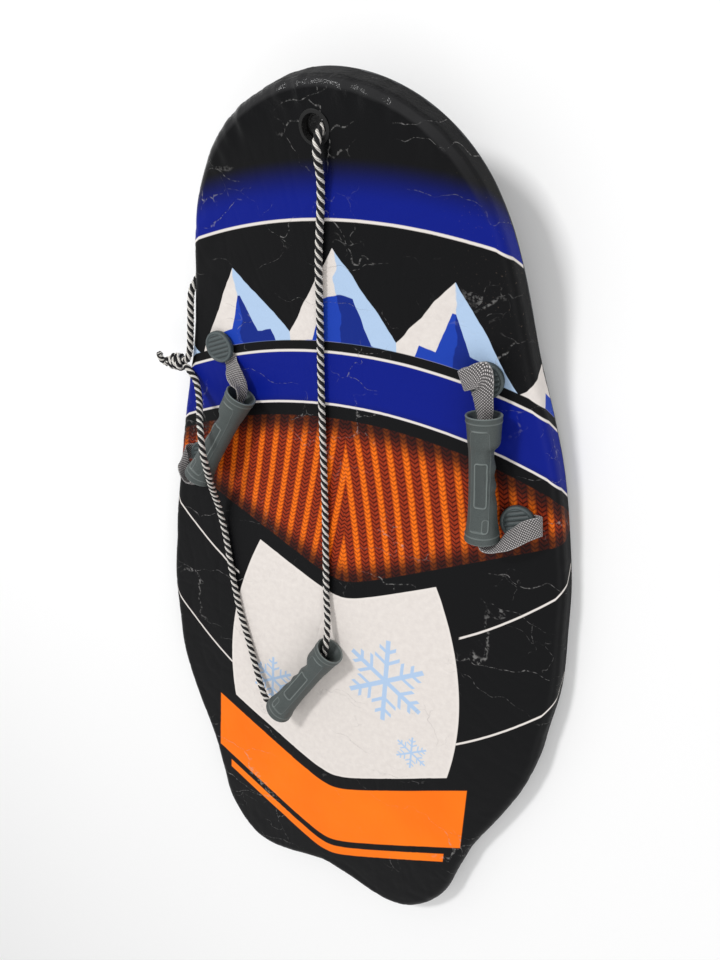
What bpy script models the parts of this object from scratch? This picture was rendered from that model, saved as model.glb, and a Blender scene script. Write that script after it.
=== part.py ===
"""Soft foam snow sled with a tow rope and two strap handles.

Metres, +Z up. The sled lies on its bottom sheet with the deck up and the nose towards +Y. Its origin is the
middle of the board's footprint, on the surface that it lies on.

Places on the board are given as (x, s, h): x across, s the length along the deck from the tail, and h the
height over the deck's surface, along its normal. The board is flat up to FLAT_LENGTH and curves up from there.
"""
from math import cos, pi, radians, sin, sqrt

import bmesh
import bpy
from mathutils import Matrix, Vector

# Board
BOARD_LENGTH = 0.895
HALF_WIDTH = 0.2448
BOARD_THICKNESS = 0.029
FLAT_LENGTH = 0.44
ROCKER_RADIUS = 0.957
RAIL_RADIUS = 0.009
DECK_SKIN = 0.0012
SLICK = 0.0018
FIT_GAP = 0.0003
OVERRUN = 0.004
CURVED_STRIPS = 16
OUTLINE_STEPS = 2
FINE_STEPS = 16
RAIL_STEPS = 3

# Half of the outline from the tail's middle to the nose, as shares of HALF_WIDTH and BOARD_LENGTH
OUTLINE_SHARES = (
    (0.000, 0.0151), (0.121, 0.0106), (0.254, 0.0028), (0.357, 0.0004), (0.454, 0.0066), (0.561, 0.0287),
    (0.639, 0.0607), (0.683, 0.0990), (0.743, 0.1468), (0.835, 0.1980), (0.916, 0.2485), (0.957, 0.2884),
    (0.976, 0.3298), (0.997, 0.3731), (1.000, 0.4031), (0.990, 0.4504), (0.976, 0.5032), (0.941, 0.5617),
    (0.890, 0.6305), (0.836, 0.6818), (0.766, 0.7411), (0.692, 0.8234), (0.640, 0.8687), (0.568, 0.9095),
    (0.476, 0.9422), (0.369, 0.9672), (0.252, 0.9849), (0.127, 0.9959), (0.000, 1.0000),
)

# Tow hole, set back from the nose, and the ferrule that lines it
TOW_HOLE_SETBACK = 0.0380
FERRULE_FLANGE_RADIUS = 0.0145
FERRULE_RISE = 0.0012
FERRULE_MOUTH_RADIUS = 0.0114
TOP_SLEEVE_OUTER = 0.0118
TOP_SLEEVE_INNER = 0.0106
TOP_SLEEVE_DEPTH = 0.019
LOW_SLEEVE_OUTER = 0.0103
LOW_SLEEVE_INNER = 0.0091
LOW_SLEEVE_HEIGHT = 0.022
FERRULE_FLARE_DEPTH = 0.004

# Block of the core round the tow hole, between the two sides and the tip of the nose
TOW_BLOCK_SIDE = 0.050

# Strap anchors: a ribbed cap over the strap, and a base let in under the board. The lower ones lie behind the
# upper ones by a grip's length and the slack.
UPPER_ANCHOR_SHARES = (0.6046, 0.7268)
LOWER_ANCHOR_WIDTH_SHARE = 0.7659
ANCHOR_SLACK = 0.0105
CAP_RADIUS = 0.017
CAP_HEIGHT = 0.0055
CAP_EDGE = 0.0015
CAP_RIM_WIDTH = 0.0028
CAP_RECESS = 0.0009
CAP_RIBS = 5
CAP_RIB_WIDTH = 0.0026
CAP_RIB_PITCH = 0.0047
CAP_RIB_DROP = 0.0002
CAP_RIB_ROOT = 0.0004
STEM_RADIUS = 0.004
STEM_END_GAP = 0.0008
BASE_RADIUS = 0.017
BARREL_WALL = 0.0017

# Webbing
WEBBING_WIDTH = 0.019
WEBBING_THICKNESS = 0.0014
WEBBING_HOLE_RADIUS = 0.0045
WEBBING_STEP = 0.0035
WEBBING_TURN = radians(40)
STRAP_SCALE = 0.010
TOP_STRAP_CLEARANCE = 0.0030
LOW_STRAP_CLEARANCE = 0.0016
STRAP_ENTRY_PINCH = radians(12)
LEFT_ENTRY_TWIST = radians(90)
RIGHT_ENTRY_TWIST = 0.0
STRAP_TWIST_STEPS = 6
BORE_FOLD = radians(66)

# Moulded grips, the same moulding on both straps and on the tow rope
GRIP_LENGTH = 0.122
GRIP_RADIUS = 0.0170
GRIP_BORE_RADIUS = 0.0068
GRIP_LIP = 0.0020
GRIP_REST_GAP = 0.0006
GRIP_SEGMENTS = 20

# Along the grip from its upper mouth: share of the length, then the plain side's, the finger side's and
# the upright half size as shares of GRIP_RADIUS
GRIP_OUTER_SHARES = (
    (0.00, 1.00, 1.00, 1.00), (0.04, 0.95, 0.96, 0.95), (0.14, 0.88, 0.92, 0.88), (0.23, 0.84, 0.89, 0.84),
    (0.27, 0.80, 0.62, 0.76), (0.33, 0.78, 0.55, 0.72), (0.41, 0.77, 0.67, 0.72), (0.47, 0.77, 0.59, 0.72),
    (0.55, 0.77, 0.72, 0.72), (0.61, 0.77, 0.65, 0.73), (0.70, 0.78, 0.78, 0.75), (0.82, 0.82, 0.82, 0.81),
    (0.92, 0.91, 0.92, 0.90), (1.00, 1.00, 1.00, 1.00),
)
# Along the bore: share of the length, and how far the bore has opened from its radius to the lip
GRIP_BORE_SHARES = (
    (1.00, 1.00), (0.97, 0.66), (0.93, 0.28), (0.88, 0.00), (0.12, 0.00), (0.07, 0.28), (0.03, 0.66),
    (0.00, 1.00),
)

# Middle of each side grip's upper mouth from the upper anchor, and of its lower mouth from the lower anchor,
# outboard and forward
RIGHT_GRIP_OFFSETS = ((0.0042, -0.0280), (-0.0291, -0.0175))
LEFT_GRIP_OFFSETS = ((-0.0320, -0.0466), (-0.0080, -0.0188))
LEFT_GRIP_LOW_LIFT = 0.0065

# Middle of the tow grip between the rope's points that lie inside it
TOW_GRIP_ROPE_SHARE = 0.4226

# Rope
ROPE_DIAMETER = 0.0075
ROPE_STEP = 0.0225
ROPE_TURN = radians(28)
ROPE_STUB = 0.004
KNOT_LENGTH = 0.022
KNOT_RADIUS = 0.0095
KNOT_WRAPS = 3
KNOT_GROOVE = 0.0016
KNOT_STEPS = 4
KNOT_SEGMENTS = 16

# Route of the rope. Points on the board are (x, s, h); points below it are (x, y from the tail, height).
FRONT_ROUTE = (
    (0.0045, 0.8578, -0.0145), (0.0045, 0.8555, -0.0060), (0.0044, 0.8523, 0.0020), (0.0043, 0.8466, 0.0076),
    (0.0038, 0.8370, 0.0090), (0.0026, 0.8270, 0.0070), (0.0004, 0.8140, 0.0048), (-0.0032, 0.7960, 0.0043),
    (-0.0131, 0.7477, 0.0043), (-0.0190, 0.6905, 0.0043), (-0.0235, 0.6289, 0.0043),
    (-0.0245, 0.5638, 0.0043), (-0.0225, 0.4960, 0.0043), (-0.0188, 0.4263, 0.0043),
    (-0.0152, 0.3820, 0.0052), (-0.0115, 0.3620, 0.0076), (-0.0088, 0.3467, 0.0110),
    (-0.0075, 0.3367, 0.0140), (-0.0071, 0.3287, 0.0160), (-0.0075, 0.3213, 0.0172), (-0.0093, 0.3150, 0.0176),
    (-0.0130, 0.3073, 0.0176), (-0.0210, 0.2948, 0.0176), (-0.0397, 0.2660, 0.0176), (-0.0507, 0.2491, 0.0176),
)
SIDE_ROUTE = (
    (-0.0507, 0.2491, 0.0176), (-0.0588, 0.2366, 0.0176), (-0.0668, 0.2294, 0.0174),
    (-0.0769, 0.2271, 0.0162), (-0.0868, 0.2302, 0.0142), (-0.0952, 0.2392, 0.0115),
    (-0.1035, 0.2530, 0.0085), (-0.1120, 0.2700, 0.0058), (-0.1203, 0.2900, 0.0045),
    (-0.1290, 0.3125, 0.0043), (-0.1357, 0.3309, 0.0043), (-0.1482, 0.3804, 0.0043),
    (-0.1570, 0.4220, 0.0045), (-0.1605, 0.4405, 0.0065), (-0.1620, 0.4620, 0.0120),
    (-0.1600, 0.4820, 0.0225), (-0.1545, 0.5020, 0.0348), (-0.1497, 0.5215, 0.0446),
    (-0.1485, 0.5420, 0.0500), (-0.1525, 0.5610, 0.0462), (-0.1628, 0.5760, 0.0338),
    (-0.1745, 0.5890, 0.0185), (-0.1830, 0.6010, 0.0090), (-0.1885, 0.6100, 0.0054),
    (-0.1945, 0.6165, 0.0048), (-0.1997, 0.6202, 0.0026), (-0.2048, 0.6203, 0.0006),
)
RAIL_ROUTE = (
    (-0.2048, 0.6290, 0.0006), (-0.1997, 0.6292, 0.0026), (-0.1950, 0.6330, 0.0044),
    (-0.1908, 0.6440, 0.0036), (-0.1880, 0.6610, 0.0020), (-0.1840, 0.6800, 0.0014),
    (-0.1818, 0.6950, -0.0002), (-0.1815, 0.7060, -0.0050), (-0.1800, 0.7150, -0.0140),
    (-0.1782, 0.7225, -0.0250),
)
FLOOR_ROUTE = (
    (-0.1755, 0.7305, 0.0345), (-0.1710, 0.7360, 0.0205), (-0.1640, 0.7430, 0.0105),
    (-0.1530, 0.7505, 0.0055), (-0.1390, 0.7575, 0.0042), (-0.1150, 0.7680, 0.0042),
    (-0.0850, 0.7830, 0.0042), (-0.0550, 0.8000, 0.0046), (-0.0300, 0.8180, 0.0075),
    (-0.0120, 0.8340, 0.0170), (-0.0020, 0.8460, 0.0330), (0.0030, 0.8545, 0.0530),
    (0.0044, 0.8586, 0.0750),
)
HOLE_ROUTE = ((0.0045, 0.8585, -0.0285), (0.0045, 0.8578, -0.0145))
TAIL_ROUTE = (
    (-0.2150, 0.6246, -0.0020), (-0.2280, 0.6250, -0.0040), (-0.2360, 0.6300, -0.0030),
    (-0.2380, 0.6380, 0.0000),
)
KNOT_BEFORE = (-0.1997, 0.6247, 0.0026)
KNOT_FACE = (-0.2048, 0.6247, 0.0006)

# Strap routes from the anchor to the mouth: outboard, forward and up in units of STRAP_SCALE from the anchor,
# then the strap's width direction (outboard, forward, up) and its lengthwise fold in degrees.
RIGHT_LOWER_STRAP_SHARES = (
    ((-1.25, 0.00, 0.10), (0.00, -1.0, 0.00), 0), ((0.00, 0.00, 0.10), (0.00, -1.0, 0.00), 0),
    ((1.30, 0.02, 0.10), (0.02, -1.0, 0.00), 0), ((1.60, 0.04, 0.10), (0.04, -1.0, 0.00), 0),
    ((1.80, 0.05, 0.115), (0.05, -1.0, 0.00), 0), ((2.08, 0.08, 0.35), (0.15, -1.0, 0.00), 0),
    ((2.20, 0.06, 0.75), (0.30, -0.95, 0.00), 0), ((1.95, -0.15, 1.18), (0.45, -0.89, 0.10), 5),
    ((0.85, -0.85, 1.52), (0.42, -0.80, 0.40), 15), ((-0.40, -1.75, 1.60), (0.28, -0.55, 0.80), 20),
    ((-1.70, -2.50, 1.70), (0.05, -0.20, 0.97), 20), ((-2.55, -2.58, 1.76), (0.00, 0.00, 1.00), 30),
)
LEFT_LOWER_STRAP_SHARES = (
    ((-1.25, 0.00, 0.10), (0.00, -1.0, 0.00), 0), ((0.00, 0.00, 0.10), (0.00, -1.0, 0.00), 0),
    ((1.30, 0.02, 0.10), (0.02, -1.0, 0.00), 0), ((1.60, 0.04, 0.10), (0.04, -1.0, 0.00), 0),
    ((1.80, 0.05, 0.115), (0.05, -1.0, 0.00), 0), ((2.10, 0.08, 0.35), (0.10, -1.0, 0.00), 0),
    ((2.30, 0.10, 0.85), (0.20, -0.98, 0.00), 0), ((2.20, -0.05, 1.45), (0.30, -0.90, 0.20), 0),
    ((1.85, -0.70, 1.95), (0.25, -0.60, 0.70), 10), ((1.45, -1.70, 2.20), (0.10, -0.25, 0.95), 15),
    ((0.85, -2.60, 2.35), (0.00, -0.05, 1.00), 20), ((0.00, -2.85, 2.42), (0.00, 0.00, 1.00), 30),
)
RIGHT_UPPER_STRAP_SHARES = (
    ((1.25, 0.00, 0.10), (0.00, 1.0, 0.00), 0), ((0.00, 0.00, 0.10), (0.00, 1.0, 0.00), 0),
    ((-1.30, 0.03, 0.10), (0.00, 1.0, 0.00), 0), ((-1.60, 0.06, 0.10), (0.00, 1.0, 0.00), 0),
    ((-1.80, 0.10, 0.115), (0.00, 1.0, 0.00), 0), ((-2.06, 0.22, 0.40), (0.05, 1.0, 0.00), 0),
    ((-2.15, 0.35, 0.95), (0.10, 1.0, 0.10), 0), ((-1.80, 0.35, 1.60), (0.20, 0.95, 0.25), 0),
    ((-0.95, 0.00, 2.05), (0.45, 0.80, 0.40), 5), ((-0.20, -0.75, 2.10), (0.80, 0.50, 0.35), 15),
    ((0.22, -1.70, 1.92), (0.97, 0.15, 0.15), 25),
)
LEFT_UPPER_STRAP_SHARES = (
    ((0.70, 1.03, 0.10), (0.83, -0.56, 0.00), 0), ((0.00, 0.00, 0.10), (0.83, -0.56, 0.00), 0),
    ((-0.72, -1.07, 0.10), (0.83, -0.56, 0.00), 0), ((-0.90, -1.33, 0.10), (0.83, -0.56, 0.00), 0),
    ((-1.02, -1.50, 0.12), (0.83, -0.56, 0.00), 0), ((-1.25, -1.86, 0.35), (0.85, -0.52, 0.00), 5),
    ((-1.83, -2.42, 0.95), (0.76, -0.50, 0.35), 10), ((-2.56, -3.14, 1.45), (0.45, -0.30, 0.82), 18),
    ((-3.22, -3.85, 1.72), (0.10, -0.05, 0.98), 24),
)

# Colours (linear red, green, blue), roughness and metallic value of each material
FINISHES = {
    "deck_film": ((0.020, 0.020, 0.022), 0.35, 0.0),
    "core_foam": ((0.80, 0.80, 0.78), 0.9, 0.0),
    "slick_sheet": ((0.030, 0.030, 0.033), 0.3, 0.0),
    "cap_plastic": ((0.060, 0.070, 0.070), 0.55, 0.0),
    "base_plastic": ((0.035, 0.035, 0.037), 0.5, 0.0),
    "ferrule_plastic": ((0.020, 0.020, 0.020), 0.45, 0.0),
    "webbing": ((0.36, 0.34, 0.34), 0.85, 0.0),
    "grip_plastic": ((0.080, 0.095, 0.092), 0.55, 0.0),
    "rope": ((0.30, 0.29, 0.27), 0.85, 0.0),
}

BOARD_BOTTOM = -BOARD_THICKNESS
RAIL_BOTTOM = BOARD_BOTTOM + SLICK + FIT_GAP
CORE_INSET = DECK_SKIN + FIT_GAP
NOSE_TURN = (BOARD_LENGTH - FLAT_LENGTH) / ROCKER_RADIUS
PLAN_LENGTH = FLAT_LENGTH + (ROCKER_RADIUS + BOARD_THICKNESS) * sin(NOSE_TURN)
TOW_HOLE_S = BOARD_LENGTH - TOW_HOLE_SETBACK
CAP_SEAT = WEBBING_THICKNESS + 2 * FIT_GAP
CAP_TOP = CAP_SEAT + CAP_HEIGHT
BARREL_BORE = STEM_RADIUS + FIT_GAP
BARREL_RADIUS = BARREL_BORE + BARREL_WALL
GRIP_AXIS_HEIGHT = GRIP_RADIUS + GRIP_REST_GAP


def turn_at(s):
    """How far the deck has turned up at a length s along it."""
    return max(0.0, s - FLAT_LENGTH) / ROCKER_RADIUS


def on_board(x, s, h):
    """World place of a point (x, s, h) of the board."""
    turn = turn_at(s)
    y = min(s, FLAT_LENGTH) + (ROCKER_RADIUS - h) * sin(turn)
    z = BOARD_THICKNESS + ROCKER_RADIUS - (ROCKER_RADIUS - h) * cos(turn)
    return Vector((x, y - PLAN_LENGTH / 2, z))


def over_floor(x, y, z):
    """World place of a point given from the tail and over the floor."""
    return Vector((x, y - PLAN_LENGTH / 2, z))


def direction(first, second):
    return (second - first).normalized()


def board_place(x, s):
    """Matrix that sets a piece on the deck at (x, s), its own +Z along the deck's normal."""
    return Matrix.Translation(on_board(x, s, 0.0)) @ Matrix.Rotation(turn_at(s), 4, "X")


def new_collection(name):
    collection = bpy.data.collections.new(name)
    bpy.context.scene.collection.children.link(collection)
    return collection


for old_object in list(bpy.context.scene.objects):
    bpy.data.objects.remove(old_object, do_unlink=True)
SLED = new_collection("snow_sled")
CUTTERS = new_collection("cutters")


def material(name):
    """Principled material of one finish."""
    if name in bpy.data.materials:
        return bpy.data.materials[name]
    colour, roughness, metallic = FINISHES[name]
    made = bpy.data.materials.new(name)
    made.use_nodes = True
    shader = made.node_tree.nodes["Principled BSDF"]
    shader.inputs["Base Color"].default_value = (*colour, 1.0)
    shader.inputs["Roughness"].default_value = roughness
    shader.inputs["Metallic"].default_value = metallic
    return made


def add_object(name, data, collection=None, place=None):
    """Link a mesh or curve into the scene, at a place given by a matrix."""
    made = bpy.data.objects.new(name, data)
    (collection or SLED).objects.link(made)
    if place is not None:
        made.matrix_world = place
    return made


def finish_object(made, finish, parent=None):
    """Give a piece its material and smooth shading, and hang it on its parent."""
    made.data.materials.clear()
    made.data.materials.append(material(finish))
    made.data.shade_smooth()
    made.data.set_sharp_from_angle(angle=radians(35))
    if parent is not None:
        bpy.context.view_layer.update()
        place = made.matrix_world.copy()
        made.parent = parent
        made.matrix_world = place
    return made


def as_mesh(source):
    """Replace an object by its evaluated mesh, with its loose caps welded."""
    bpy.context.view_layer.update()
    name = source.name
    place = source.matrix_world.copy()
    collection = source.users_collection[0]
    evaluated = source.evaluated_get(bpy.context.evaluated_depsgraph_get())
    mesh = bpy.data.meshes.new_from_object(evaluated)
    bpy.data.objects.remove(source, do_unlink=True)
    tool = bmesh.new()
    tool.from_mesh(mesh)
    bmesh.ops.remove_doubles(tool, verts=tool.verts, dist=FIT_GAP / 30)
    tool.to_mesh(mesh)
    tool.free()
    mesh.name = name
    return add_object(name, mesh, collection, place)


def combine(target, other, operation):
    """Exact boolean of two mesh objects. The other one is used up."""
    modifier = target.modifiers.new(operation.lower(), "BOOLEAN")
    modifier.operation = operation
    modifier.solver = "EXACT"
    modifier.object = other
    result = as_mesh(target)
    bpy.data.objects.remove(other, do_unlink=True)
    return result


def drill(target, x, s, radius, low, high, segments=32):
    """Bore a round hole down through a flat layer at (x, s)."""
    mesh = bpy.data.meshes.new("drill")
    tool = bmesh.new()
    bmesh.ops.create_cone(tool, cap_ends=True, segments=segments, radius1=radius, radius2=radius,
                          depth=high - low)
    bmesh.ops.translate(tool, verts=tool.verts, vec=(x, s, (low + high) / 2))
    tool.to_mesh(mesh)
    tool.free()
    cutter = add_object("drill", mesh, CUTTERS)
    cutter.hide_render = True
    cutter.display_type = "WIRE"
    return combine(target, cutter, "DIFFERENCE")


def turned(name, profile, segments, closed, place):
    """Solid of revolution about the piece's own Z, from a profile given as (radius, height)."""
    mesh = bpy.data.meshes.new(name)
    points = [(radius, 0.0, height) for radius, height in profile]
    edges = [(i, i + 1) for i in range(len(points) - 1)]
    if closed:
        edges.append((len(points) - 1, 0))
    mesh.from_pydata(points, edges, [])
    made = add_object(name, mesh, place=place)
    screw = made.modifiers.new("turn", "SCREW")
    screw.axis = "Z"
    screw.angle = 2 * pi
    screw.steps = segments
    screw.render_steps = segments
    screw.use_merge_vertices = True
    screw.merge_threshold = 0.00001
    return as_mesh(made)


def spline_point(before, start, end, after, share):
    """Point between start and end on a smooth curve, paced by the square roots of the distances."""
    pace = [sqrt((second - first).length) for first, second in ((before, start), (start, end), (end, after))]
    first = before.lerp(start, 1 + share * pace[1] / pace[0])
    second = start.lerp(end, share)
    third = end.lerp(after, (share - 1) * pace[1] / pace[2])
    lower = first.lerp(second, (pace[0] + share * pace[1]) / (pace[0] + pace[1]))
    upper = second.lerp(third, share * pace[1] / (pace[1] + pace[2]))
    return lower.lerp(upper, share)


def smooth_loop(points, steps):
    """Closed smooth curve through points, with a number of steps between each pair."""
    count = len(points)
    result = []
    for i in range(count):
        around = [points[(i + shift) % count] for shift in (-1, 0, 1, 2)]
        result.extend(spline_point(*around, step / steps) for step in range(steps))
    return result


def smooth_line(points, steps):
    """Open smooth curve through points, as (point, place among the given points)."""
    padded = [2 * points[0] - points[1], *points, 2 * points[-1] - points[-2]]
    result = []
    for i in range(len(points) - 1):
        for step in range(steps):
            share = step / steps
            result.append((spline_point(*padded[i:i + 4], share), i + share))
    result.append((points[-1].copy(), len(points) - 1.0))
    return result


def walk_line(points, spacing, turning):
    """Points along a smooth curve, spaced by a distance or by an angle of turning, whichever comes first."""
    fine = smooth_line(points, FINE_STEPS)
    result = [fine[0]]
    gone = 0.0
    turned_by = 0.0
    for i in range(1, len(fine) - 1):
        step = fine[i][0] - fine[i - 1][0]
        gone += step.length
        turned_by += step.angle(fine[i + 1][0] - fine[i][0])
        if gone >= spacing or turned_by >= turning:
            result.append(fine[i])
            gone = 0.0
            turned_by = 0.0
    if len(result) > 1 and (result[-1][0] - fine[-1][0]).length < 0.7 * spacing:
        result.pop()
    result.append(fine[-1])
    return result


def board_outline(inset):
    """Flat outline of the board, drawn in by a distance."""
    half = [Vector((across * HALF_WIDTH, along * BOARD_LENGTH)) for across, along in OUTLINE_SHARES]
    other = [Vector((-point.x, point.y)) for point in reversed(half[1:-1])]
    loop = smooth_loop(half + other, OUTLINE_STEPS)
    count = len(loop)
    result = []
    for i, point in enumerate(loop):
        along = (loop[(i + 1) % count] - loop[i - 1]).normalized()
        result.append(point + inset * Vector((-along.y, along.x)))
    return result


def flat_layer(name, inset, low, high, rounding):
    """Flat layer of the board between two heights, its upper edge rounded, cut across where it will bend."""
    curve = bpy.data.curves.new(name, "CURVE")
    curve.dimensions = "2D"
    curve.fill_mode = "BOTH"
    curve.extrude = (high - low) / 2
    points = board_outline(inset)
    spline = curve.splines.new("POLY")
    spline.points.add(len(points) - 1)
    for target, point in zip(spline.points, points):
        target.co = (point.x, point.y, 0.0, 1.0)
    spline.use_cyclic_u = True
    layer = as_mesh(add_object(name, curve, CUTTERS, Matrix.Translation((0.0, 0.0, (low + high) / 2))))
    tool = bmesh.new()
    tool.from_mesh(layer.data)
    tool.transform(layer.matrix_world)
    bmesh.ops.dissolve_limit(tool, angle_limit=radians(0.2), verts=tool.verts, edges=tool.edges)
    if rounding:
        top = max(vertex.co.z for vertex in tool.verts)
        level = FIT_GAP / 10
        rim = [edge for edge in tool.edges if all(abs(vertex.co.z - top) < level for vertex in edge.verts)]
        bmesh.ops.bevel(tool, geom=rim, offset=rounding, offset_type="OFFSET", segments=RAIL_STEPS,
                        profile=0.5, affect="EDGES", clamp_overlap=False)
    strip = (BOARD_LENGTH - FLAT_LENGTH) / CURVED_STRIPS
    for i in range(CURVED_STRIPS):
        cut = FLAT_LENGTH + i * strip
        bmesh.ops.bisect_plane(tool, geom=[*tool.verts, *tool.edges, *tool.faces], dist=FIT_GAP / 100,
                               plane_co=(0.0, cut, 0.0), plane_no=(0.0, 1.0, 0.0))
    bmesh.ops.recalc_face_normals(tool, faces=tool.faces)
    tool.to_mesh(layer.data)
    tool.free()
    layer.matrix_world = Matrix.Identity(4)
    return layer


def bend_layer(layer, finish):
    """Bend a drilled flat layer to the board's curve and move it among the sled's pieces."""
    tool = bmesh.new()
    tool.from_mesh(layer.data)
    bmesh.ops.triangulate(tool, faces=tool.faces)
    for vertex in tool.verts:
        vertex.co = on_board(*vertex.co)
    tool.to_mesh(layer.data)
    tool.free()
    CUTTERS.objects.unlink(layer)
    SLED.objects.link(layer)
    return finish_object(layer, finish)


def anchors():
    """Name and place (x, s) of each strap anchor."""
    upper_x, upper_s = UPPER_ANCHOR_SHARES[0] * HALF_WIDTH, UPPER_ANCHOR_SHARES[1] * BOARD_LENGTH
    lower_x, lower_s = LOWER_ANCHOR_WIDTH_SHARE * HALF_WIDTH, upper_s - GRIP_LENGTH - ANCHOR_SLACK
    return {
        "upper_left": (-upper_x, upper_s), "upper_right": (upper_x, upper_s),
        "lower_left": (-lower_x, lower_s), "lower_right": (lower_x, lower_s),
    }


def core_block(core, name, low, high):
    """Block of the core between two flat corners (x, s)."""
    mesh = bpy.data.meshes.new(name)
    tool = bmesh.new()
    bmesh.ops.create_cube(tool, size=1.0)
    bmesh.ops.scale(tool, verts=tool.verts, vec=(high[0] - low[0], high[1] - low[1],
                                                 BOARD_THICKNESS + 2 * OVERRUN))
    bmesh.ops.translate(tool, verts=tool.verts, vec=((low[0] + high[0]) / 2, (low[1] + high[1]) / 2,
                                                     -BOARD_THICKNESS / 2))
    tool.to_mesh(mesh)
    tool.free()
    return combine(add_object(name, core.data.copy(), CUTTERS), add_object("limits", mesh, CUTTERS), "INTERSECT")


def make_core(core):
    """Divide the drilled core into its rear, the sides and tip of its nose, and the block round the tow hole."""
    rear = TOW_HOLE_S - TOW_BLOCK_SIDE / 2
    front = rear + TOW_BLOCK_SIDE
    side = TOW_BLOCK_SIDE / 2
    wide = HALF_WIDTH + OVERRUN
    end = BOARD_LENGTH + OVERRUN
    blocks = (
        ("foam_core", (-wide, -OVERRUN), (wide, rear - FIT_GAP)),
        ("foam_nose_left", (-wide, rear), (-side - FIT_GAP, end)),
        ("foam_nose_right", (side + FIT_GAP, rear), (wide, end)),
        ("foam_nose_tip", (-side, front + FIT_GAP), (side, end)),
        ("tow_hole_block", (-side, rear), (side, front)),
    )
    for name, low, high in blocks:
        bend_layer(core_block(core, name, low, high), "core_foam")
    bpy.data.objects.remove(core, do_unlink=True)


def make_board():
    """Deck skin, foam core and bottom sheet, bored for the anchors and the tow hole."""
    above = OVERRUN
    below = BOARD_BOTTOM - OVERRUN
    skin = flat_layer("deck_skin", 0.0, RAIL_BOTTOM, 0.0, RAIL_RADIUS)
    inside = flat_layer("skin_inside", DECK_SKIN, below, -DECK_SKIN, RAIL_RADIUS - DECK_SKIN)
    skin = combine(skin, inside, "DIFFERENCE")
    core = flat_layer("whole_core", CORE_INSET, RAIL_BOTTOM, -CORE_INSET, RAIL_RADIUS - CORE_INSET)
    slick = flat_layer("bottom_sheet", 0.0, BOARD_BOTTOM, BOARD_BOTTOM + SLICK, 0.0)
    for x, s in anchors().values():
        skin = drill(skin, x, s, BARREL_BORE, below, above)
        core = drill(core, x, s, BARREL_RADIUS + FIT_GAP, below, above)
        slick = drill(slick, x, s, BASE_RADIUS + FIT_GAP, below, above)
    skin = drill(skin, 0.0, TOW_HOLE_S, TOP_SLEEVE_OUTER + FIT_GAP, below, above)
    core = drill(core, 0.0, TOW_HOLE_S, TOP_SLEEVE_OUTER + FIT_GAP, below, above)
    slick = drill(slick, 0.0, TOW_HOLE_S, FERRULE_FLANGE_RADIUS + FIT_GAP, below, above)
    bend_layer(skin, "deck_film")
    make_core(core)
    bend_layer(slick, "slick_sheet")


def make_ferrule():
    """Two flanged sleeves that line the tow hole, the lower one sliding into the upper one."""
    place = board_place(0.0, TOW_HOLE_S)
    edge = FERRULE_RISE / 2
    upper = [
        (FERRULE_MOUTH_RADIUS, FERRULE_RISE), (FERRULE_FLANGE_RADIUS - edge, FERRULE_RISE),
        (FERRULE_FLANGE_RADIUS, edge), (FERRULE_FLANGE_RADIUS, FIT_GAP), (TOP_SLEEVE_OUTER, FIT_GAP),
        (TOP_SLEEVE_OUTER, -TOP_SLEEVE_DEPTH), (TOP_SLEEVE_INNER, -TOP_SLEEVE_DEPTH),
        (TOP_SLEEVE_INNER, -FERRULE_FLARE_DEPTH),
    ]
    top = BOARD_BOTTOM + LOW_SLEEVE_HEIGHT
    lower = [
        (LOW_SLEEVE_OUTER, top), (LOW_SLEEVE_OUTER, BOARD_BOTTOM + SLICK),
        (FERRULE_FLANGE_RADIUS, BOARD_BOTTOM + SLICK), (FERRULE_FLANGE_RADIUS, BOARD_BOTTOM),
        (LOW_SLEEVE_INNER + edge, BOARD_BOTTOM), (LOW_SLEEVE_INNER, BOARD_BOTTOM + edge),
        (LOW_SLEEVE_INNER, top),
    ]
    finish_object(turned("tow_hole_ferrule", upper, 28, True, place), "ferrule_plastic")
    finish_object(turned("tow_hole_ferrule_base", lower, 28, True, place), "ferrule_plastic")


def rib_box(length, x, y, low, high):
    """One straight rib for a cap, as a box."""
    mesh = bpy.data.meshes.new("rib")
    tool = bmesh.new()
    bmesh.ops.create_cube(tool, size=1.0)
    bmesh.ops.scale(tool, verts=tool.verts, vec=(length, CAP_RIB_WIDTH, high - low))
    bmesh.ops.translate(tool, verts=tool.verts, vec=(x, y, (low + high) / 2))
    tool.to_mesh(mesh)
    tool.free()
    return mesh


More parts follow.
